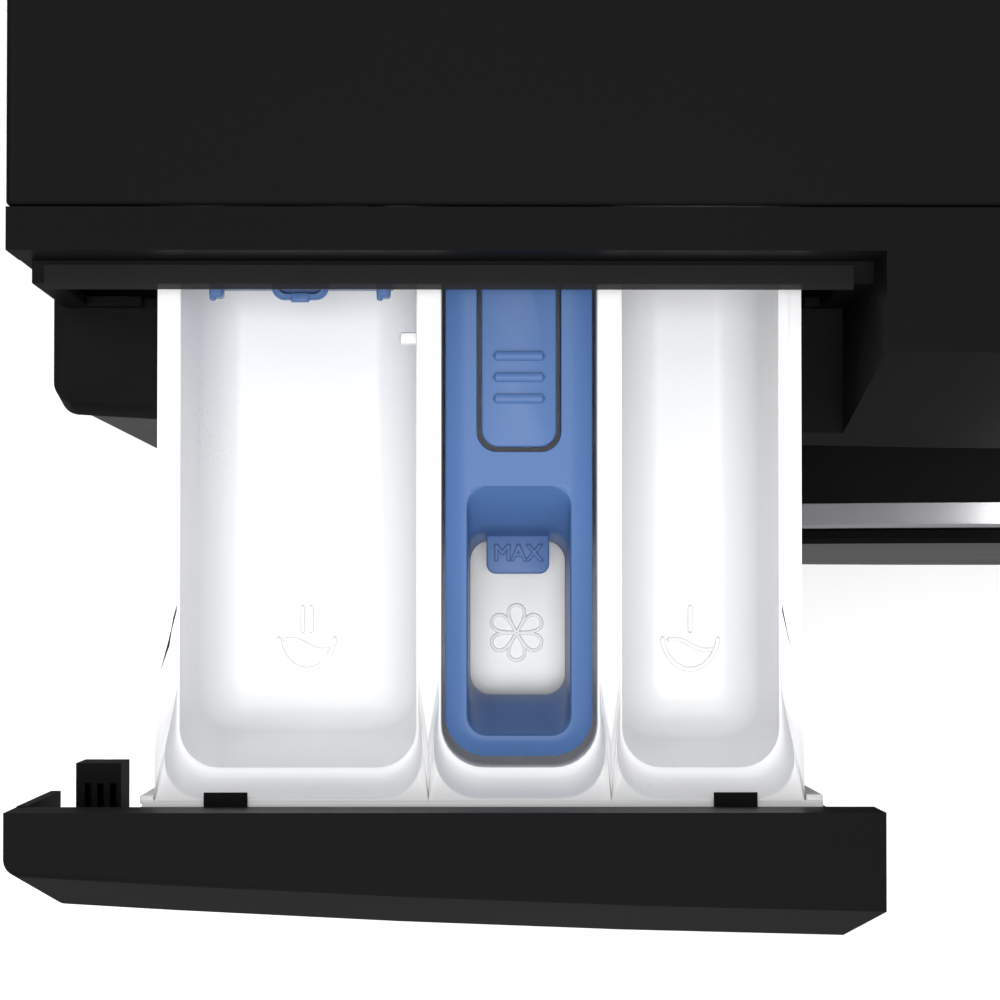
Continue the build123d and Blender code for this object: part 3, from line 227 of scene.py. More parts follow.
# ---- shader maths ----
class Value:
    """A shader socket that adds and multiplies as a number does."""

    def __init__(self, shader, socket):
        self.shader = shader
        self.socket = socket

    def sum(self, operation, first, second):
        return self.shader.node("ShaderNodeMath", {"operation": operation}, {0: first, 1: second})

    def __add__(self, other):
        return self.sum("ADD", self, other)

    def __radd__(self, other):
        return self.sum("ADD", other, self)

    def __mul__(self, other):
        return self.sum("MULTIPLY", self, other)


class Shader:
    """A material whose nodes are added one call at a time."""

    def __init__(self, name):
        self.material = bpy.data.materials.new(name + "_finish")
        self.material.use_nodes = True
        self.tree = self.material.node_tree
        self.tree.nodes.clear()

    def node(self, kind, settings=None, inputs=None, output=0):
        """Any node: its settings first, then the values or links of its sockets."""
        made = self.tree.nodes.new(kind)
        for key, value in (settings or {}).items():
            setattr(made, key, value)
        for key, value in (inputs or {}).items():
            if isinstance(value, Value):
                self.tree.links.new(value.socket, made.inputs[key])
            else:
                made.inputs[key].default_value = value
        return Value(self, made.outputs[output]) if len(made.outputs) else None

    def place(self, scale=(1, 1, 1), turn=(0, 0, 0)):
        """Object coordinates, stretched or turned."""
        where = self.node("ShaderNodeTexCoord", output=3)
        return self.node("ShaderNodeMapping", {}, {0: where, 2: turn, 3: scale})

    def noise(self, where, scale, detail=3.0, rough=0.5):
        """Soft cloudy noise from 0 to 1."""
        sockets = {"Vector": where, "Scale": scale, "Detail": detail, "Roughness": rough}
        return self.node("ShaderNodeTexNoise", {}, sockets)

    def mix(self, factor, first, second):
        """Two colours mixed by a factor."""
        return self.node("ShaderNodeMix", {"data_type": "RGBA"}, {0: factor, 6: first, 7: second}, output=2)

    def bump(self, height, distance):
        """A bumped normal from a height in metres per unit."""
        return self.node("ShaderNodeBump", {}, {"Height": height, "Distance": distance, "Strength": 1.0})

    def finish(self, **sockets):
        """The surface shader and the output."""
        named = {key.replace("_", " "): value for key, value in sockets.items()}
        skin = self.node("ShaderNodeBsdfPrincipled", {}, named)
        self.node("ShaderNodeOutputMaterial", {}, {0: skin})
        return self.material


def tone(colour, gain):
    """A colour made lighter or darker."""
    return tuple(min(1.0, c * gain) for c in colour[:3]) + (1.0,)


def moulded(name, colour, rough, grain, depth, vary, specular=0.5):
    """Moulded plastic or rubber: a fine grain in the normal and a slow drift of colour and gloss."""
    s = Shader(name)
    where = s.place()
    drift = s.noise(where, 9.0, 2.0)
    fine = s.noise(where, grain, 2.0)
    base = s.mix(drift, tone(colour, 1 - vary), tone(colour, 1 + vary))
    return s.finish(Base_Color=base, Roughness=rough - 0.05 + drift * 0.08 + fine * 0.04,
                    Specular_IOR_Level=specular, Normal=s.bump(fine, depth))


def brushed(name, colour, rough, stretch, vary=0.1):
    """Metal with fine lines drawn out along one axis."""
    s = Shader(name)
    lines = s.noise(s.place(stretch), 220.0, 4.0, 0.6)
    drift = s.noise(s.place(), 6.0, 2.0)
    base = s.mix(lines, tone(colour, 1 - vary), tone(colour, 1 + vary))
    return s.finish(Base_Color=base, Roughness=rough - 0.06 + lines * 0.1 + drift * 0.06, Metallic=1.0,
                    Normal=s.bump(lines, 0.00001))


def rough_cast(name, colour, rough, metallic, scale=260.0, depth=0.0004):
    """Cast or sintered metal: coarse pits over fine sand."""
    s = Shader(name)
    where = s.place()
    pits = s.noise(where, scale, 6.0, 0.65)
    patches = s.noise(where, 14.0, 3.0)
    base = s.mix(patches, tone(colour, 0.75), tone(colour, 1.2))
    return s.finish(Base_Color=base, Roughness=rough - 0.1 + pits * 0.2, Metallic=metallic,
                    Normal=s.bump(pits, depth))


def spangled(name, colour, rough):
    """Galvanised sheet: flat crystals of slightly different brightness."""
    s = Shader(name)
    where = s.place()
    cells = s.node("ShaderNodeTexVoronoi", {}, {"Vector": where, "Scale": 90.0})
    soft = s.noise(where, 18.0, 3.0)
    base = s.mix(cells * 0.6 + soft * 0.4, tone(colour, 0.8), tone(colour, 1.12))
    return s.finish(Base_Color=base, Roughness=rough - 0.05 + cells * 0.12, Metallic=0.9)


def clear(name, colour, rough):
    """Clear glass with faint smears in its gloss."""
    s = Shader(name)
    smear = s.noise(s.place((1, 1, 0.3)), 12.0, 3.0)
    return s.finish(Base_Color=colour, Roughness=rough + smear * 0.05, Transmission_Weight=1.0, IOR=1.5)


def shade_film(name, colour, cover):
    """Painted shade: a thin dark see-through film, seen through by what its cover leaves, that darkens a band where
    the ledge's shade falls.
    """
    s = Shader(name)
    smear = s.noise(s.place(), 40.0, 2.0)
    return s.finish(Base_Color=colour, Roughness=0.3 + smear * 0.1, Alpha=cover, Specular_IOR_Level=0.1)


def circuit(name):
    """Circuit board: green laminate with paler tracks."""
    s = Shader(name)
    where = s.place()
    upright = s.place((1, 1, 1), (math.pi / 2, 0, 0))
    tracks = s.node("ShaderNodeTexBrick", {}, {"Vector": upright, "Scale": 60.0}, output=1)
    base = s.mix(tracks, (0.02, 0.16, 0.06, 1), (0.10, 0.42, 0.20, 1))
    return s.finish(Base_Color=base, Roughness=0.35 + s.noise(where, 200.0) * 0.1)


black = (0.0062, 0.0062, 0.0065)
finishes = {}


def prepare_finishes():
    """Every finish by its material slot's name, and a darker, less glossy copy of the enamel for the worktop:
    painted shade for its top, which faces the overhead light.
    """
    finishes.update(
        black_enamel=moulded("black_enamel", (0.012, 0.012, 0.0125), rough=0.3, grain=1400.0, depth=0.00001,
                             vary=0.1, specular=0.35),
        # Painted shade: the worktop's copy of the enamel, darker and less glossy so that its top, lit by the
        # overhead light, stays dark.
        worktop_black=moulded("worktop_black", black, rough=0.42, grain=1400.0, depth=0.00001,
                              vary=0.1, specular=0.02),
        black_plastic=moulded("black_plastic", black, rough=0.38, grain=1600.0, depth=0.000008,
                              vary=0.1, specular=0.015),
        black_handle=moulded("black_handle", (0.014, 0.014, 0.0145), rough=0.4, grain=1100.0, depth=0.00002,
                             vary=0.1, specular=0.03),
        dark_pane=moulded("dark_pane", (0.004, 0.004, 0.0045), rough=0.14, grain=500.0, depth=0.000002,
                          vary=0.1, specular=0.015),
        chrome_trim=brushed("chrome_trim", (0.36, 0.36, 0.37), 0.22, (0.02, 1, 0.02), vary=0.05),
        white_plastic=moulded("white_plastic", (0.84, 0.844, 0.855), rough=0.28, grain=1200.0, depth=0.000008,
                              vary=0.01, specular=0.5),
        blue_plastic=moulded("blue_plastic", (0.066, 0.14, 0.33), rough=0.34, grain=1200.0, depth=0.00001,
                             vary=0.03, specular=0.2),
        smoked_window=moulded("smoked_window", (0.006, 0.006, 0.007), rough=0.06, grain=500.0, depth=0.000002,
                              vary=0.1, specular=0.5),
        galvanised=spangled("galvanised", (0.55, 0.56, 0.57), 0.4),
        stainless=brushed("stainless", (0.66, 0.66, 0.67), 0.24, (1, 0.02, 1)),
        cast_grey=rough_cast("cast_grey", (0.16, 0.16, 0.165), 0.75, 0.0),
        cast_aluminium=rough_cast("cast_aluminium", (0.55, 0.56, 0.57), 0.5, 0.9, 400.0, 0.00015),
        grey_plastic=moulded("grey_plastic", (0.30, 0.30, 0.31), rough=0.45, grain=800.0, depth=0.00003, vary=0.05),
        white_moulding=moulded("white_moulding", (0.72, 0.72, 0.71), rough=0.5, grain=700.0, depth=0.00004,
                               vary=0.03),
        grey_rubber=moulded("grey_rubber", (0.16, 0.165, 0.17), rough=0.6, grain=500.0, depth=0.00005,
                            vary=0.06, specular=0.3),
        black_rubber=moulded("black_rubber", (0.02, 0.02, 0.02), rough=0.7, grain=500.0, depth=0.00008,
                             vary=0.1, specular=0.3),
        bowl_glass=clear("bowl_glass", (0.93, 0.96, 0.96, 1), 0.02),
        # smoked_lip is painted shade: a dark see-through film at the ledge's front whose cover darkens the band of
        # tray seen under the ledge.
        smoked_lip=shade_film("smoked_lip", (0.004, 0.004, 0.004, 1), 0.77),
        board_green=circuit("board_green"),
        motor_steel=rough_cast("motor_steel", (0.22, 0.20, 0.18), 0.5, 0.7, 500.0, 0.0001),
        zinc_steel=brushed("zinc_steel", (0.60, 0.61, 0.62), 0.3, (1, 1, 0.05)),
    )


def dress_frame():
    """Gives every CAD node the finish of its material slot."""
    for name, slot in slots.items():
        materials = nodes[name].data.materials
        materials.clear()
        materials.append(finishes[slot])


# ---- pieces ----
def softened(name, node, width, angle=28.0, segments=2):
    """A copy of a CAD node with its flat faces joined up and its sharp edges rounded by width, in millimetres."""
    source = nodes[node]
    bm = bmesh.new()
    bm.from_mesh(source.data)
    bmesh.ops.remove_doubles(bm, verts=bm.verts, dist=5e-6)
    bmesh.ops.dissolve_limit(bm, angle_limit=math.radians(0.4), verts=bm.verts, edges=bm.edges)
    mesh = bpy.data.meshes.new(name)
    bm.to_mesh(mesh)
    bm.free()
    mesh.materials.append(source.data.materials[0])
    piece = bpy.data.objects.new(name, mesh)
    bpy.context.scene.collection.objects.link(piece)
    mesh.shade_smooth()
    mesh.set_sharp_from_angle(angle=math.radians(angle))
    bevel = piece.modifiers.new("edges", "BEVEL")
    bevel.limit_method = "ANGLE"
    bevel.angle_limit = math.radians(angle)
    bevel.width = width * MM
    bevel.segments = segments
    bevel.use_clamp_overlap = True
    bevel.harden_normals = True
    body = source["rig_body"]
    if body:
        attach(piece, body)
    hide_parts(node)
    return piece


def thicken(piece, thickness, side=0.0):
    """Gives a sheet its wall, half to each side, or all behind it where side is -1."""
    wall = piece.modifiers.new("wall", "SOLIDIFY")
    wall.thickness = thickness * MM
    wall.offset = side


bowl_start = 30.0          # where the raised front begins, behind the tray's front
rim_run = 24.0             # length over which the rims rise
ridge_run = 22.0           # length over which the ridges swing out
runner_start = 38.0        # where the tray widens to its runners
runner_run = 10.0
widening = 2.9             # by which each side widens there
rim_round = 0.5            # radius of a bowl's rim
back_corner = 4.0          # radius of a bowl's rear corners
bowl_runs = (24, 110)      # points along a bowl's short and long sides


def plateau(y):
    """Height of the ribs and the front rim: the deck, rising in an S curve to the raised rim at the front."""
    return deck + (rim_top - deck) * smooth_step((tray_front + bowl_start - y) / rim_run)


def compartment(bounds, cell, ridge, corner, floor_z, fillet, side_draft, front_draft, wide=(0, 0)):
    """One bowl of the tray. From the cell's edge the rows run over the rib's flat top, down the hollow slope that
    leads from the ridge to the rim, round the rim, down the drafted walls, round the floor's fillet and across."""
    x0, x1, y0, y1 = bounds
    left, right, front = ridge
    rows = []
    box = outline(*cell, 0.02, runs=bowl_runs)
    widen = smooth_step((tray_front + runner_start - box[:, 1]) / runner_run)
    box[:, 0] += np.where(np.isclose(box[:, 0], cell[0], atol=0.03), -widen * wide[0], 0)
    box[:, 0] += np.where(np.isclose(box[:, 0], cell[1], atol=0.03), widen * wide[1], 0)
    rows.append(raised(box, plateau(box[:, 1])))
    edge = outline(x0 - rim_round, x1 + rim_round, y0 - rim_round, y1 + rim_round, corner + rim_round, back_corner,
                   runs=bowl_runs)
    far = outline(x0 - left, x1 + right, y0 - front, y1 + 0.9, corner + 1.5, 4.4, runs=bowl_runs)
    rise = smooth_step((tray_front + bowl_start - edge[:, 1]) / ridge_run)[:, None]
    ridge_line = edge + (far - edge) * (0.05 + 0.95 * rise)
    outer = ridge_line + (far - edge) * 0.05
    height = plateau(ridge_line[:, 1])
    rows.append(raised(outer, height))
    for t in (0.0, 0.06, 0.14, 0.24, 0.36, 0.5, 0.65, 0.8, 0.92):
        flat = ridge_line + (edge - ridge_line) * t
        rows.append(raised(flat, deck + (height - deck) * (1 - t) ** 2.2 - 0.2 * rise[:, 0] * (1 - t)))
    rows.append(raised(edge, deck))
    flat = outline(x0 - 0.15, x1 + 0.15, y0 - 0.15, y1 + 0.15, corner + 0.15, back_corner, runs=bowl_runs)
    rows.append(raised(flat, deck - 0.12))
    rows.append(raised(outline(x0, x1, y0, y1, corner, back_corner, runs=bowl_runs), deck - rim_round))
    wall = deck - rim_round - floor_z - fillet
    for t in (0.25, 0.5, 0.75, 1.0):
        side, ahead = side_draft * t, front_draft * t
        flat = outline(x0 + side, x1 - side, y0 + ahead, y1 - side, corner, back_corner, runs=bowl_runs)
        rows.append(raised(flat, deck - rim_round - wall * t))
    for a in np.radians(np.linspace(12, 90, 7)):
        inset = fillet * (1 - math.cos(a))
        drop = fillet * math.sin(a)
        side, ahead = side_draft + inset, front_draft + inset
        flat = outline(x0 + side, x1 - side, y0 + ahead, y1 - side, max(corner - inset * 0.5, 2),
                       max(back_corner - inset, 0.5), runs=bowl_runs)
        rows.append(raised(flat, floor_z + fillet - drop))
    side, ahead = side_draft + fillet + 1, front_draft + fillet + 1
    flat = outline(x0 + side, x1 - side, y0 + ahead, y1 - side, max(corner - fillet * 0.5 - 1, 1), 0.5,
                   runs=bowl_runs)
    rows.append(raised(flat, floor_z))
    return loft(rows, last=True)


side_wall = 2.6
rib = 6.2                  # between neighbouring bowls
main_width = 57.2
soft_width = 37.9
main_rim = (tray_left + side_wall, tray_left + side_wall + main_width, tray_front + 7.9, tray_back - 4)
soft_rim = (main_rim[1] + rib, main_rim[1] + rib + soft_width, main_rim[2], main_rim[3])
pre_rim = (soft_rim[1] + rib, tray_right - side_wall, main_rim[2], main_rim[3])
powder_floor = tray_floor + 2.5


def tray_shell():
    """The white tray: three bowls, the outer skirt with its runners and the underside."""
    first = (main_rim[1] + soft_rim[0]) / 2
    second = (soft_rim[1] + pre_rim[0]) / 2
    ends = (tray_front, tray_back)
    parts = [
        compartment(main_rim, (tray_left, first, *ends), (4.4, 2.4, 7.2), 9.5, powder_floor, 10, 0.8, 7,
                    (widening, 0)),
        compartment(soft_rim, (first, second, *ends), (2.7, 2.7, 7.2), 10.5, powder_floor + 14, 3, 1.0, 2),
        compartment(pre_rim, (second, tray_right, *ends), (2.4, 4.4, 7.2), 9.5, powder_floor, 10, 0.8, 5,
                    (0, widening)),
    ]
    box = outline(tray_left, tray_right, *ends, 0.02, runs=bowl_runs)
    widen = smooth_step((tray_front + runner_start - box[:, 1]) / runner_run) * widening
    left = np.isclose(box[:, 0], tray_left, atol=0.03)
    right = np.isclose(box[:, 0], tray_right, atol=0.03)
    top = box.copy()
    top[:, 0] += np.where(left, -widen, 0) + np.where(right, widen, 0)
    out = box.copy()
    out[:, 0] += np.where(left, -runner_out, 0) + np.where(right, runner_out, 0)
    runner_top, runner_low = deck - 0.7, deck - 2.2
    rows = [raised(top, plateau(top[:, 1])), raised(top, runner_top), raised(out, runner_top),
            raised(out, runner_low), raised(box, runner_low), raised(box, tray_floor)]
    parts.append(loft(rows, last=True))
    return joined(parts)


mark_rise = 1.2            # height of the raised signs


def bowl_mark(x, y, z, bars):
    """The raised dish sign: a half ellipse with a wave in it and one or two upright bars above."""
    turn = np.radians(np.linspace(4, 176, 40))
    dish = np.column_stack([x + 7.3 * np.cos(turn), y + 4.6 - 9.4 * np.sin(turn)])
    along = np.linspace(-1, 1, 30)
    wave = np.column_stack([x + 6.2 * along, y + 1.6 + 1.1 * np.sin(-along * 2.6) - 0.5 * along])
    parts = [stroke(dish, 1.25, mark_rise, z), stroke(wave, 1.1, mark_rise, z)]
    for k in range(bars):
        across = x + (k - (bars - 1) / 2) * 2.2
        bar = np.column_stack([np.full(14, across), y + np.linspace(4.4, 12.0, 14)])
        parts.append(stroke(bar, 1.3, mark_rise, z))
    return joined(parts)


def flower_mark(x, y, z):
    """The raised flower sign: six drop-shaped loops round one point."""
    parts = []
    t = np.linspace(0, 2 * math.pi, 48, endpoint=False)
    for k in range(6):
        turn = math.radians(90 + 60 * k)
        along = 7.0 * ((1 - np.cos(t)) / 2) ** 0.75
        across = 2.5 * np.sin(t) * ((1 - np.cos(t)) / 2) ** 0.35
        path = np.column_stack([x + along * math.cos(turn) - across * math.sin(turn),
                                y + along * math.sin(turn) + across * math.cos(turn)])
        parts.append(stroke(path, 0.85, 0.9, z, closed=True))
    return joined(parts)


insert_left = soft_rim[0] + 0.95
insert_right = soft_rim[1] - 1.1
insert_front = soft_rim[2] + 2.6
insert_back = tray_back - 8
insert_mid = (insert_left + insert_right) / 2
insert_top = deck + 0.4
pocket_front = insert_front + 4.9
pocket_back = pocket_front + 60.8
tongue_front = pocket_back + 9.5
tongue_half = 9.1
slot_gap = 1.3
cap_wall = 1.1
cap_corner = 10.0
cap_back_corner = 4.0
crown_run = 5.5
crown_drop = 2.0
pocket_half = 12.8
pocket_corner = 5.0
cap_runs = (26, 50)         # points along the cap's short and long sides


def crowned(flat):
    """Height of the insert's cap: flat in the middle, falling off over the crown's run to its edge."""
    inner_x = np.minimum(flat[:, 0] - insert_left, insert_right - flat[:, 0])
    inner_y = flat[:, 1] - insert_front
    beyond = np.hypot(np.clip(cap_corner - inner_x, 0, None), np.clip(cap_corner - inner_y, 0, None))
    at_corner = (inner_x < cap_corner) & (inner_y < cap_corner)
    nearest = np.where(at_corner, cap_corner - beyond, np.minimum(inner_x, inner_y))
    t = np.clip(nearest / crown_run, 0, 1)
    return insert_top - crown_drop * (1 - t) ** 2.2


def cap_rows(cell, hole):
    """Rows from the cap's cell outline in to a hole's outline, all on the crowned surface."""
    rows = []
    for t in np.linspace(0, 1, 10) ** 1.5:
        flat = cell + (hole - cell) * t
        rows.append(raised(flat, crowned(flat)))
    return rows


def insert_shell():
    """The blue insert: crowned cap with outer skirt, the funnel of the filling pocket and the tongue's slot."""
    split = (pocket_back + tongue_front - slot_gap) / 2
    pocket_left, pocket_right = insert_mid - pocket_half, insert_mid + pocket_half
    cell = outline(insert_left, insert_right, insert_front, split, cap_corner, 0.02, runs=cap_runs)
    hole = outline(pocket_left, pocket_right, pocket_front, pocket_back, pocket_corner, runs=cap_runs)
    rows = cap_rows(cell, hole)
    lip = crowned(hole).mean()
    steps = ((0.3, 0.4, 0.3, 0.4), (0.7, 1.4, 0.4, 1.4), (3.2, 8.0, 0.5, 9.0), (7.0, 16.0, 0.6, 11.0),
             (9.4, 22.5, 0.8, 12.5), (9.6, 24.0, 1.0, 12.9))
    for front, drop, side, back in steps:
        flat = outline(pocket_left + side, pocket_right - side, pocket_front + front, pocket_back - back,
                       pocket_corner, runs=cap_runs)
        rows.append(raised(flat, lip - drop))
    front_part = loft(rows)
    cell = outline(insert_left, insert_right, split, insert_back, 0.02, cap_back_corner, runs=cap_runs)
    left, right = insert_mid - tongue_half - slot_gap, insert_mid + tongue_half + slot_gap
    slot_front, slot_back = tongue_front - slot_gap, insert_back - 2.0
    hole = outline(left, right, slot_front, slot_back, pocket_corner, 1.0, runs=cap_runs)
    rows = cap_rows(cell, hole)
    for inset, drop in ((0.15, 0.25), (0.2, 1.2), (0.2, 9.0)):
        flat = outline(left + inset, right - inset, slot_front + inset, slot_back - inset, pocket_corner, 1.0,
                       runs=cap_runs)
        rows.append(raised(flat, crowned(flat) - drop))
    rear_part = loft(rows)
    edge = outline(insert_left, insert_right, insert_front, insert_back, cap_corner, cap_back_corner,
                   runs=cap_runs)
    rows = [raised(edge, crowned(edge))]
    for inset, drop in ((0.1, 0.5), (0.2, 3.0), (0.4, 9.0)):
        flat = outline(insert_left + inset, insert_right - inset, insert_front + inset, insert_back - inset,
                       cap_corner, cap_back_corner, runs=cap_runs)
        rows.append(raised(flat, crowned(edge) - drop))
    skirt = loft(rows)
    return joined([front_part, rear_part, skirt])


def tongue_shell():
    """The insert's springy tongue: a plate with a rounded front and three raised finger bars."""
    top = insert_top - 0.15
    parts = [slab(insert_mid - tongue_half, insert_mid + tongue_half, tongue_front, insert_back - 2.8,
                  top - 2.2, top, 4.2, 0.45, (6, 30))]
    for k in range(3):
        y = tongue_front + 11.8 + 5.2 * k
        bar = np.column_stack([insert_mid + np.linspace(-6.5, 6.5, 16), np.full(16, y)])
        parts.append(stroke(bar, 2.3, 0.9, top - 0.02))
    return joined(parts)


def max_tab():
    """The fill mark's tab on the pocket's rear slope."""
    half = 7.8
    return slab(insert_mid - half, insert_mid + half, pocket_back - 21.2, pocket_back - 9.0,
                insert_top - 21.5, insert_top - 19.8, 2.4, 0.4)


def gate_shell():
    """The measuring gate: an upright plate with a hook at each end and a finger tab."""
    low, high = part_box("liquid_gate")
    x0, x1 = low[0] / MM, high[0] / MM
    y0, y1 = low[1] / MM, high[1] / MM
    z0, z1 = low[2] / MM, high[2] / MM
    middle = (x0 + x1) / 2
    parts = [slab(x0, x1, y0 + 5.8, y0 + 7.4, z0, z1 - 2.2, 0.6, 0.3)]
    for x in (x0, x1 - 3.4):
        parts.append(slab(x, x + 3.4, y0 + 0.4, y1 - 0.4, z1 - 7.6, z1 - 0.4, 0.8, 0.5))
        parts.append(slab(x, x + 1.5, y0 - 0.2, y0 + 4, z1 - 6.0, z1 - 2.2, 0.5, 0.3))
    ring = outline(middle - 7.0, middle + 7.0, y0 - 0.1, y1 - 1.0, 3.2, 1.0, runs=(10, 6))
    inner = outline(middle - 5.2, middle + 5.2, y0 + 1.6, y1 - 1.4, 2.0, 0.6, runs=(10, 6))
    rows = [raised(ring, z1 - 5.2), raised(ring, z1 - 3.2), raised(ring + (inner - ring) * 0.25, z1 - 2.8),
            raised(ring + (inner - ring) * 0.8, z1 - 2.8), raised(inner, z1 - 3.3), raised(inner, z1 - 4.6)]
    parts.append(loft(rows, first=True, last=True))
    parts.append(slab(middle - 2.3, middle + 2.3, y0 - 0.7, y0 + 1.6, z1 - 4.6, z1 - 2.6, 0.5, 0.3))
    return joined(parts)


def rounded_line(points, times=2):
    """A line with its corners cut again and again, a quarter of each run from either end, until it looks smooth."""
    line = np.asarray(points, float)
    for _ in range(times):
        near = line[:-1] * 0.75 + line[1:] * 0.25
        far = line[:-1] * 0.25 + line[1:] * 0.75
        between = np.stack([near, far], 1).reshape(-1, line.shape[1])
        line = np.concatenate([line[:1], between, line[-1:]])
    return line


def revolved(profile, centre, axis, turns=96):
    """A profile of (radius, distance along the axis) turned round an axis of Y or Z through a centre."""
    radius, along = np.asarray(profile, float).T
    turn = np.linspace(0, 2 * math.pi, turns, endpoint=False)
    a = radius[:, None] * np.cos(turn)
    b = radius[:, None] * np.sin(turn)
    c = np.broadcast_to(along[:, None], a.shape)
    order = {"Y": (a, c, b), "Z": (a, b, c)}[axis]
    return np.stack(order, -1) + np.asarray(centre, float)


def tube_along(path, normal, radius, around):
    """A round bar: a circle carried along a path, set out by the path's normals and their cross products."""
    ahead = np.gradient(path, axis=0)
    ahead /= np.linalg.norm(ahead, axis=1)[:, None]
    normal = normal - ahead * np.sum(normal * ahead, 1)[:, None]
    normal /= np.linalg.norm(normal, axis=1)[:, None]
    side = np.cross(ahead, normal)
    turn = np.linspace(0, 2 * math.pi, around, endpoint=False)[None, :, None]
    rows = path[:, None] + radius * (np.cos(turn) * normal[:, None] + np.sin(turn) * side[:, None])
    return loft(rows, first=True, last=True)


def coil_spring(x, y, low, high, radius, wire, coils):
    """A wound spring: a helix whose radius draws in towards its axis over the last coil at either end."""
    t = np.linspace(0, 1, coils * 20)
    reach = smooth_step(np.minimum(t, 1 - t) * coils / 1.2)
    turn = 2 * math.pi * coils * t
    spread = (radius - wire) * (0.12 + 0.88 * reach)
    height = low + (high - low) * t
    path = np.column_stack([x + spread * np.cos(turn), y + spread * np.sin(turn), height])
    normal = np.column_stack([np.cos(turn), np.sin(turn), np.zeros_like(turn)])
    return tube_along(path, normal, wire, 8)


def gasket_rows():
    """The door gasket: a smoothed bellows line turned round the drum's axis."""
    low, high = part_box("door_gasket")
    y0, y1 = low[1] / MM + 1.5, high[1] / MM - 1.5
    mouth = (high[2] - low[2]) / MM / 2 - 8.5
    line = [(mouth + 7, y0), (mouth + 1, y0), (mouth - 8, y0), (mouth - 17, y0 + 6), (mouth - 21, y0 + 14),
            (mouth - 20, y0 + 22), (mouth - 12, y0 + 27), (mouth - 2, y0 + 28), (mouth + 3, y0 + 32),
            (mouth + 2.5, y0 + 38), (mouth - 2, y0 + 44), (mouth - 3.2, y0 + 50), (mouth - 3.2, y1)]
    return revolved(rounded_line(line), (0, 0, drum_axis_z), "Y", 128)


def hose_rows(node, ribs, swell):
    """An upright corrugated hose: a radius that swells in even waves between plain cuffs."""
    low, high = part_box(node)
    x, y = (low[0] + high[0]) / 2 / MM, (low[1] + high[1]) / 2 / MM
    z = np.linspace(low[2], high[2], ribs * 12 + 1) / MM
    outer = (high[0] - low[0]) / 2 / MM
    t = np.linspace(0, 1, len(z))
    wave = smooth_step(np.minimum(t, 1 - t) / 0.14) * (0.5 - 0.5 * np.cos(2 * math.pi * ribs * t))
    profile = np.column_stack([outer - swell - 1.3 + swell * wave, z])
    return revolved(profile, (x, y, 0), "Z", 64)


def drum_barrel():
    """The pierced barrel: an eight-sided hole in every cell of a grid wrapped round the drum, and plain bands at the
    ends. Each cell runs from its square edge in to the hole."""
    low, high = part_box("drum_shell")
    radius = (high[2] - low[2]) / MM / 2
    y0, y1 = low[1] / MM + 11, high[1] / MM - 8
    around, along = 96, 20
    hole_share = 0.17          # the hole's radius as a share of the cell's side
    turn = np.arange(8) * math.pi / 4
    square = np.column_stack([np.sign(np.round(np.cos(turn), 3)), np.sign(np.round(np.sin(turn), 3))]) * 0.5
    hole = np.column_stack([np.cos(turn), np.sin(turn)]) * hole_share
    dish = hole * 1.7
    cell = np.stack([square, dish, hole])
    depth = np.array([0.0, 0.0, -0.5])
    i, j = np.meshgrid(np.arange(around), np.arange(along), indexing="ij")
    u = (i.ravel()[:, None, None] + 0.5 + cell[None, ..., 0]) / around * 2 * math.pi
    v = y0 + (j.ravel()[:, None, None] + 0.5 + cell[None, ..., 1]) * (y1 - y0) / along
    r = radius + np.broadcast_to(depth[None, :, None], u.shape)
    points = np.stack([r * np.sin(u), np.broadcast_to(v, u.shape), drum_axis_z + r * np.cos(u)], -1).reshape(-1, 3)
    base = np.arange(around * along)[:, None, None, None] * 24
    ring = np.arange(2)[None, :, None, None] * 8
    k = np.arange(8)[None, None, :, None]
    n = (k + 1) % 8
    quads = base + ring + np.concatenate([k, n, n + 8, k + 8], -1)
    return points, quads.reshape(-1, 4).tolist()


def drum_ends():
    """The drum's rolled front ring and its pressed rear plate, each a profile turned round the axis."""
    low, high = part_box("drum_shell")
    radius = (high[2] - low[2]) / MM / 2
    front, back = low[1] / MM + 4, high[1] / MM
    mouth = radius - 68
    lip = rounded_line([(radius, front + 7), (radius - 1, front + 1), (radius - 8, front),
                        (mouth + 14, front + 0.5), (mouth + 6, front), (mouth + 1, front - 3.6),
                        (mouth + 3, front - 4), (mouth + 4, front - 1)])
    rear = rounded_line([(radius, back - 8), (radius, back - 1), (radius - 6, back - 0.5),
                         (radius - 40, back - 0.5), (radius - 52, back - 6), (80, back - 6),
                         (60, back - 0.6), (20, back - 0.6)])
    centre = (0, 0, drum_axis_z)
    return joined([loft(revolved(lip, centre, "Y")), loft(revolved(rear, centre, "Y"), last=True)])


# ---- operators ----
class WasherSettings(bpy.types.PropertyGroup):
    """Sizes and light that can be changed."""
    lens: bpy.props.FloatProperty(name="Lens", description="Focal length of the camera", default=128.0)
    edge_radius: bpy.props.FloatProperty(name="Edge radius", description="Rounding of moulded edges in millimetres",
                                         default=0.7, min=0.1, max=2.0)
    light: bpy.props.FloatProperty(name="Light", description="Strength of the studio light", default=1.0, min=0.0)


class WASHER_OT_finishes(bpy.types.Operator):
    """Makes the finishes and gives them to the frame's nodes"""
    bl_idname = "washer.finishes"
    bl_label = "Finishes"

    def execute(self, context):
        prepare_finishes()
        dress_frame()
        return {"FINISHED"}


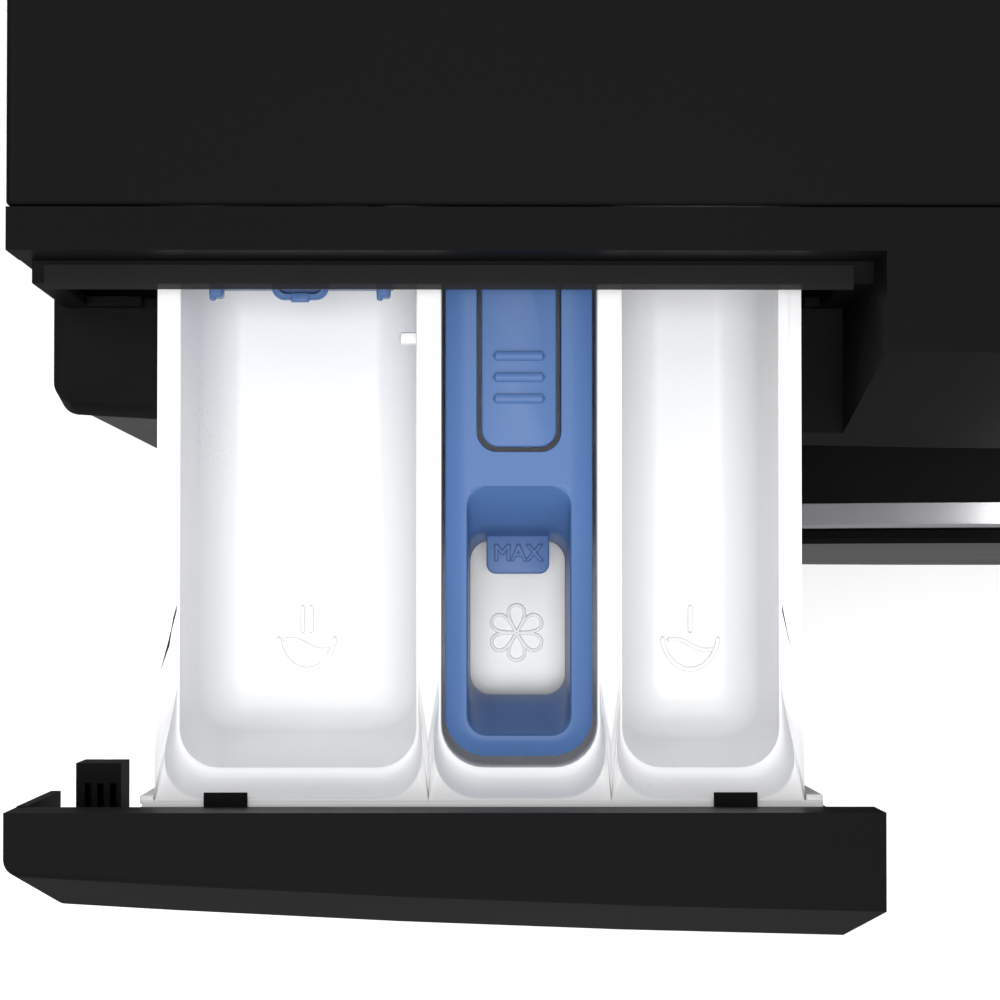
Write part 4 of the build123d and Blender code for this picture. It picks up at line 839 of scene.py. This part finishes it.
class WASHER_OT_tray(bpy.types.Operator):
    """Makes the detergent tray with its signs and peg"""
    bl_idname = "washer.tray"
    bl_label = "Detergent tray"

    def execute(self, context):
        white = finishes["white_plastic"]
        make("tray_shell", tray_shell(), white, "drawer", ("drawer_tray",))
        floor = powder_floor - 0.05
        y = tray_front + 35.4
        marks = [
            bowl_mark((main_rim[0] + main_rim[1]) / 2 - 0.4, y, floor, 2),
            bowl_mark((pre_rim[0] + pre_rim[1]) / 2 + 1.0, y, floor, 1),
            flower_mark(insert_mid, insert_front + 29.7, powder_floor + 13.95),
        ]
        make("tray_marks", joined(marks), white, "drawer", ())
        low = tray_floor + 4
        flange = slab(tray_left - 5.9, tray_right + 7.4, tray_front - flange_lead, tray_front + 0.3, low, rim_top,
                      0.3, 0.25)
        left_tab = slab(tray_left - 6.5, tray_left - 3.2, tray_front - 0.6, tray_front + 1.4, low, rim_top - 1,
                        0.3, 0.25)
        right_tab = slab(tray_right + 3.4, tray_right + 7.4, tray_front - 0.6, tray_front + 1.6, low, rim_top - 1,
                         0.3, 0.25)
        make("tray_flange", joined([flange, left_tab, right_tab]), white, "drawer", ())
        peg = np.column_stack([main_rim[1] + np.linspace(-4.6, 1, 8), np.full(8, tray_front + 113.0)])
        make("tray_peg", stroke(peg, 3.2, 1.6, deck - 12), white, "drawer", ())
        return {"FINISHED"}


class WASHER_OT_insert(bpy.types.Operator):
    """Makes the softener insert, its tongue, the fill mark and the measuring gate"""
    bl_idname = "washer.insert"
    bl_label = "Softener insert and gate"

    def execute(self, context):
        blue = finishes["blue_plastic"]
        cap = make("insert_shell", insert_shell(), blue, "drawer", ("softener_insert",))
        thicken(cap, cap_wall, -1.0)
        make("tongue_shell", tongue_shell(), blue, "tongue", ("release_tongue",))
        make("fill_tab", max_tab(), blue, "drawer", ())
        make("gate_shell", gate_shell(), blue, "gate", ("liquid_gate",))
        text = bpy.data.curves.new("fill_word", "FONT")
        text.body = "MAX"
        text.size = 5.6 * MM
        text.align_x = "CENTER"
        text.align_y = "CENTER"
        text.extrude = 0.5 * MM
        text.bevel_depth = 0.3 * MM
        text.bevel_resolution = 1
        text.offset = -0.1 * MM
        word = bpy.data.objects.new("fill_word_line", text)
        context.scene.collection.objects.link(word)
        context.view_layer.update()
        mesh = bpy.data.meshes.new_from_object(word)
        bpy.data.objects.remove(word)
        points = np.empty(len(mesh.vertices) * 3)
        mesh.vertices.foreach_get("co", points)
        points = points.reshape(-1, 3)
        points += np.array([insert_mid, pocket_back - 16.2, insert_top - 19.7]) * MM
        mesh.vertices.foreach_set("co", points.ravel())
        mesh.materials.clear()
        mesh.materials.append(blue)
        piece = bpy.data.objects.new("fill_word", mesh)
        context.scene.collection.objects.link(piece)
        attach(piece, "drawer")
        return {"FINISHED"}


class WASHER_OT_mouldings(bpy.types.Operator):
    """Rounds the edges of the black mouldings"""
    bl_idname = "washer.mouldings"
    bl_label = "Rounded mouldings"

    def execute(self, context):
        edge = context.scene.washer_settings.edge_radius
        for node in ("control_panel", "drawer_front", "door_handle", "program_knob", "start_button", "service_flap"):
            softened(node + "_skin", node, edge)
        # The worktop takes the darker copy of the enamel instead of its slot's finish: painted shade for its top.
        top = softened("worktop_skin", "worktop", edge)
        top.data.materials[0] = finishes["worktop_black"]
        return {"FINISHED"}


class WASHER_OT_rubber(bpy.types.Operator):
    """Makes the door gasket and the dispenser hose"""
    bl_idname = "washer.rubber"
    bl_label = "Gasket and hose"

    def execute(self, context):
        gasket = make("gasket_bellows", loft(gasket_rows()), finishes["grey_rubber"], None, ("door_gasket",))
        thicken(gasket, 2.4)
        drum_axis_z * MM
        drum_axis_z * MM
        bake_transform(gasket)
        hose = make("dispenser_bellows", loft(hose_rows("dispenser_hose", 9, 2.4)), finishes["black_rubber"], None,
                    ("dispenser_hose",))
        thicken(hose, 1.8)
        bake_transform(hose)
        return {"FINISHED"}


class WASHER_OT_springs(bpy.types.Operator):
    """Makes the two wound suspension springs"""
    bl_idname = "washer.springs"
    bl_label = "Suspension springs"

    def execute(self, context):
        low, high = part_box("suspension_springs")
        y = (low[1] + high[1]) / 2 / MM
        reach = high[0] / MM - 12      # the springs' axes to either side
        radius, wire, turns = 12.0, 1.5, 34
        coils = joined([coil_spring(x, y, low[2] / MM, high[2] / MM, radius, wire, turns) for x in (-reach, reach)])
        springs = make("spring_coils", coils, finishes["zinc_steel"], None, ("suspension_springs",))
        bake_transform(springs)
        return {"FINISHED"}


class WASHER_OT_drum(bpy.types.Operator):
    """Makes the pierced steel drum"""
    bl_idname = "washer.drum"
    bl_label = "Drum"

    def execute(self, context):
        steel = finishes["stainless"]
        sheet = 0.7
        barrel = make("drum_barrel", drum_barrel(), steel, "drum", ("drum_shell",), closed=False)
        thicken(barrel, sheet)
        ends = make("drum_ends", drum_ends(), steel, "drum", (), closed=False)
        thicken(ends, sheet)
        return {"FINISHED"}


class WASHER_OT_stage(bpy.types.Operator):
    """Makes the floor, the lights and the camera"""
    bl_idname = "washer.stage"
    bl_label = "Stage"

    def execute(self, context):
        settings = context.scene.washer_settings
        mesh = bpy.data.meshes.new("floor")
        mesh.from_pydata([(-8, -8, 0), (8, -8, 0), (8, 8, 0), (-8, 8, 0)], [], [(0, 1, 2, 3)])
        s = Shader("pale_floor")
        drift = s.noise(s.place(), 0.6, 2.0)
        mesh.materials.append(s.finish(Base_Color=s.mix(drift, (0.93, 0.93, 0.93, 1), (0.96, 0.96, 0.96, 1)),
                                       Roughness=0.9, Specular_IOR_Level=0.0))
        floor = bpy.data.objects.new("stage_floor", mesh)
        context.scene.collection.objects.link(floor)
        floor.visible_glossy = False
        suns = (("top", (0.03, 0.12, -1.0), 1.3, 20), ("key", (0.35, 0.6, -1.0), 0.7, 50),
                ("fill", (-0.55, 0.45, -1.0), 0.7, 60), ("back", (0.1, -0.6, -1.0), 1.0, 50),
                ("left", (1.0, 0.1, -0.8), 0.5, 60), ("right", (-1.0, 0.1, -0.8), 0.5, 60),
                ("front", (0.1, 1.0, -0.35), 0.45, 60))
        for name, aim, strength, angle in suns:
            light = bpy.data.lights.new(name, "SUN")
            light.energy = strength * settings.light
            light.angle = math.radians(angle)
            sun = bpy.data.objects.new(name + "_light", light)
            sun.rotation_euler = Vector(aim).to_track_quat("-Z", "Y").to_euler()
            context.scene.collection.objects.link(sun)
        world = bpy.data.worlds.new("studio")
        world.use_nodes = True
        world.node_tree.nodes["Background"].inputs[0].default_value = (1, 1, 1, 1)
        world.node_tree.nodes["Background"].inputs[1].default_value = 0.2 * settings.light
        context.scene.world = world
        context.scene.view_settings.view_transform = "Standard"
        lens = bpy.data.cameras.new("camera")
        lens.lens = settings.lens
        lens.sensor_width = 36.0
        camera = bpy.data.objects.new("camera", lens)
        # The photograph's viewpoint in metres: 827 mm above the worktop, nearly straight down.
        place = Vector((-0.1915, -0.274, 1.675))
        aim = Vector((-0.1838, -0.2498, 0.848)) - place
        back = -aim.normalized()
        across = Vector((0, 1, 0)).cross(back).normalized()
        upward = back.cross(across)
        camera.location = place
        camera.rotation_euler = Matrix((across, upward, back)).transposed().to_euler()
        lens.clip_start = 0.05
        context.scene.collection.objects.link(camera)
        context.scene.camera = camera
        return {"FINISHED"}


class WASHER_PT_panel(bpy.types.Panel):
    """Lists the washing machine's pieces"""
    bl_label = "Washing machine"
    bl_idname = "WASHER_PT_panel"
    bl_space_type = "VIEW_3D"
    bl_region_type = "UI"
    bl_category = "Washing machine"

    def draw(self, context):
        for operator in operators:
            self.layout.operator(operator.bl_idname)


operators = (WASHER_OT_finishes, WASHER_OT_tray, WASHER_OT_insert, WASHER_OT_mouldings, WASHER_OT_rubber,
             WASHER_OT_springs, WASHER_OT_drum, WASHER_OT_stage)
classes = (WasherSettings, *operators, WASHER_PT_panel)


def register():
    for item in classes:
        bpy.utils.register_class(item)
    bpy.types.Scene.washer_settings = bpy.props.PointerProperty(type=WasherSettings)


def unregister():
    del bpy.types.Scene.washer_settings
    for item in reversed(classes):
        bpy.utils.unregister_class(item)


def main():
    """Builds everything in order."""
    register()
    bpy.ops.washer.finishes()
    bpy.ops.washer.tray()
    bpy.ops.washer.insert()
    bpy.ops.washer.mouldings()
    bpy.ops.washer.rubber()
    bpy.ops.washer.springs()
    bpy.ops.washer.drum()
    bpy.ops.washer.stage()


if __name__ == "__main__":
    main()
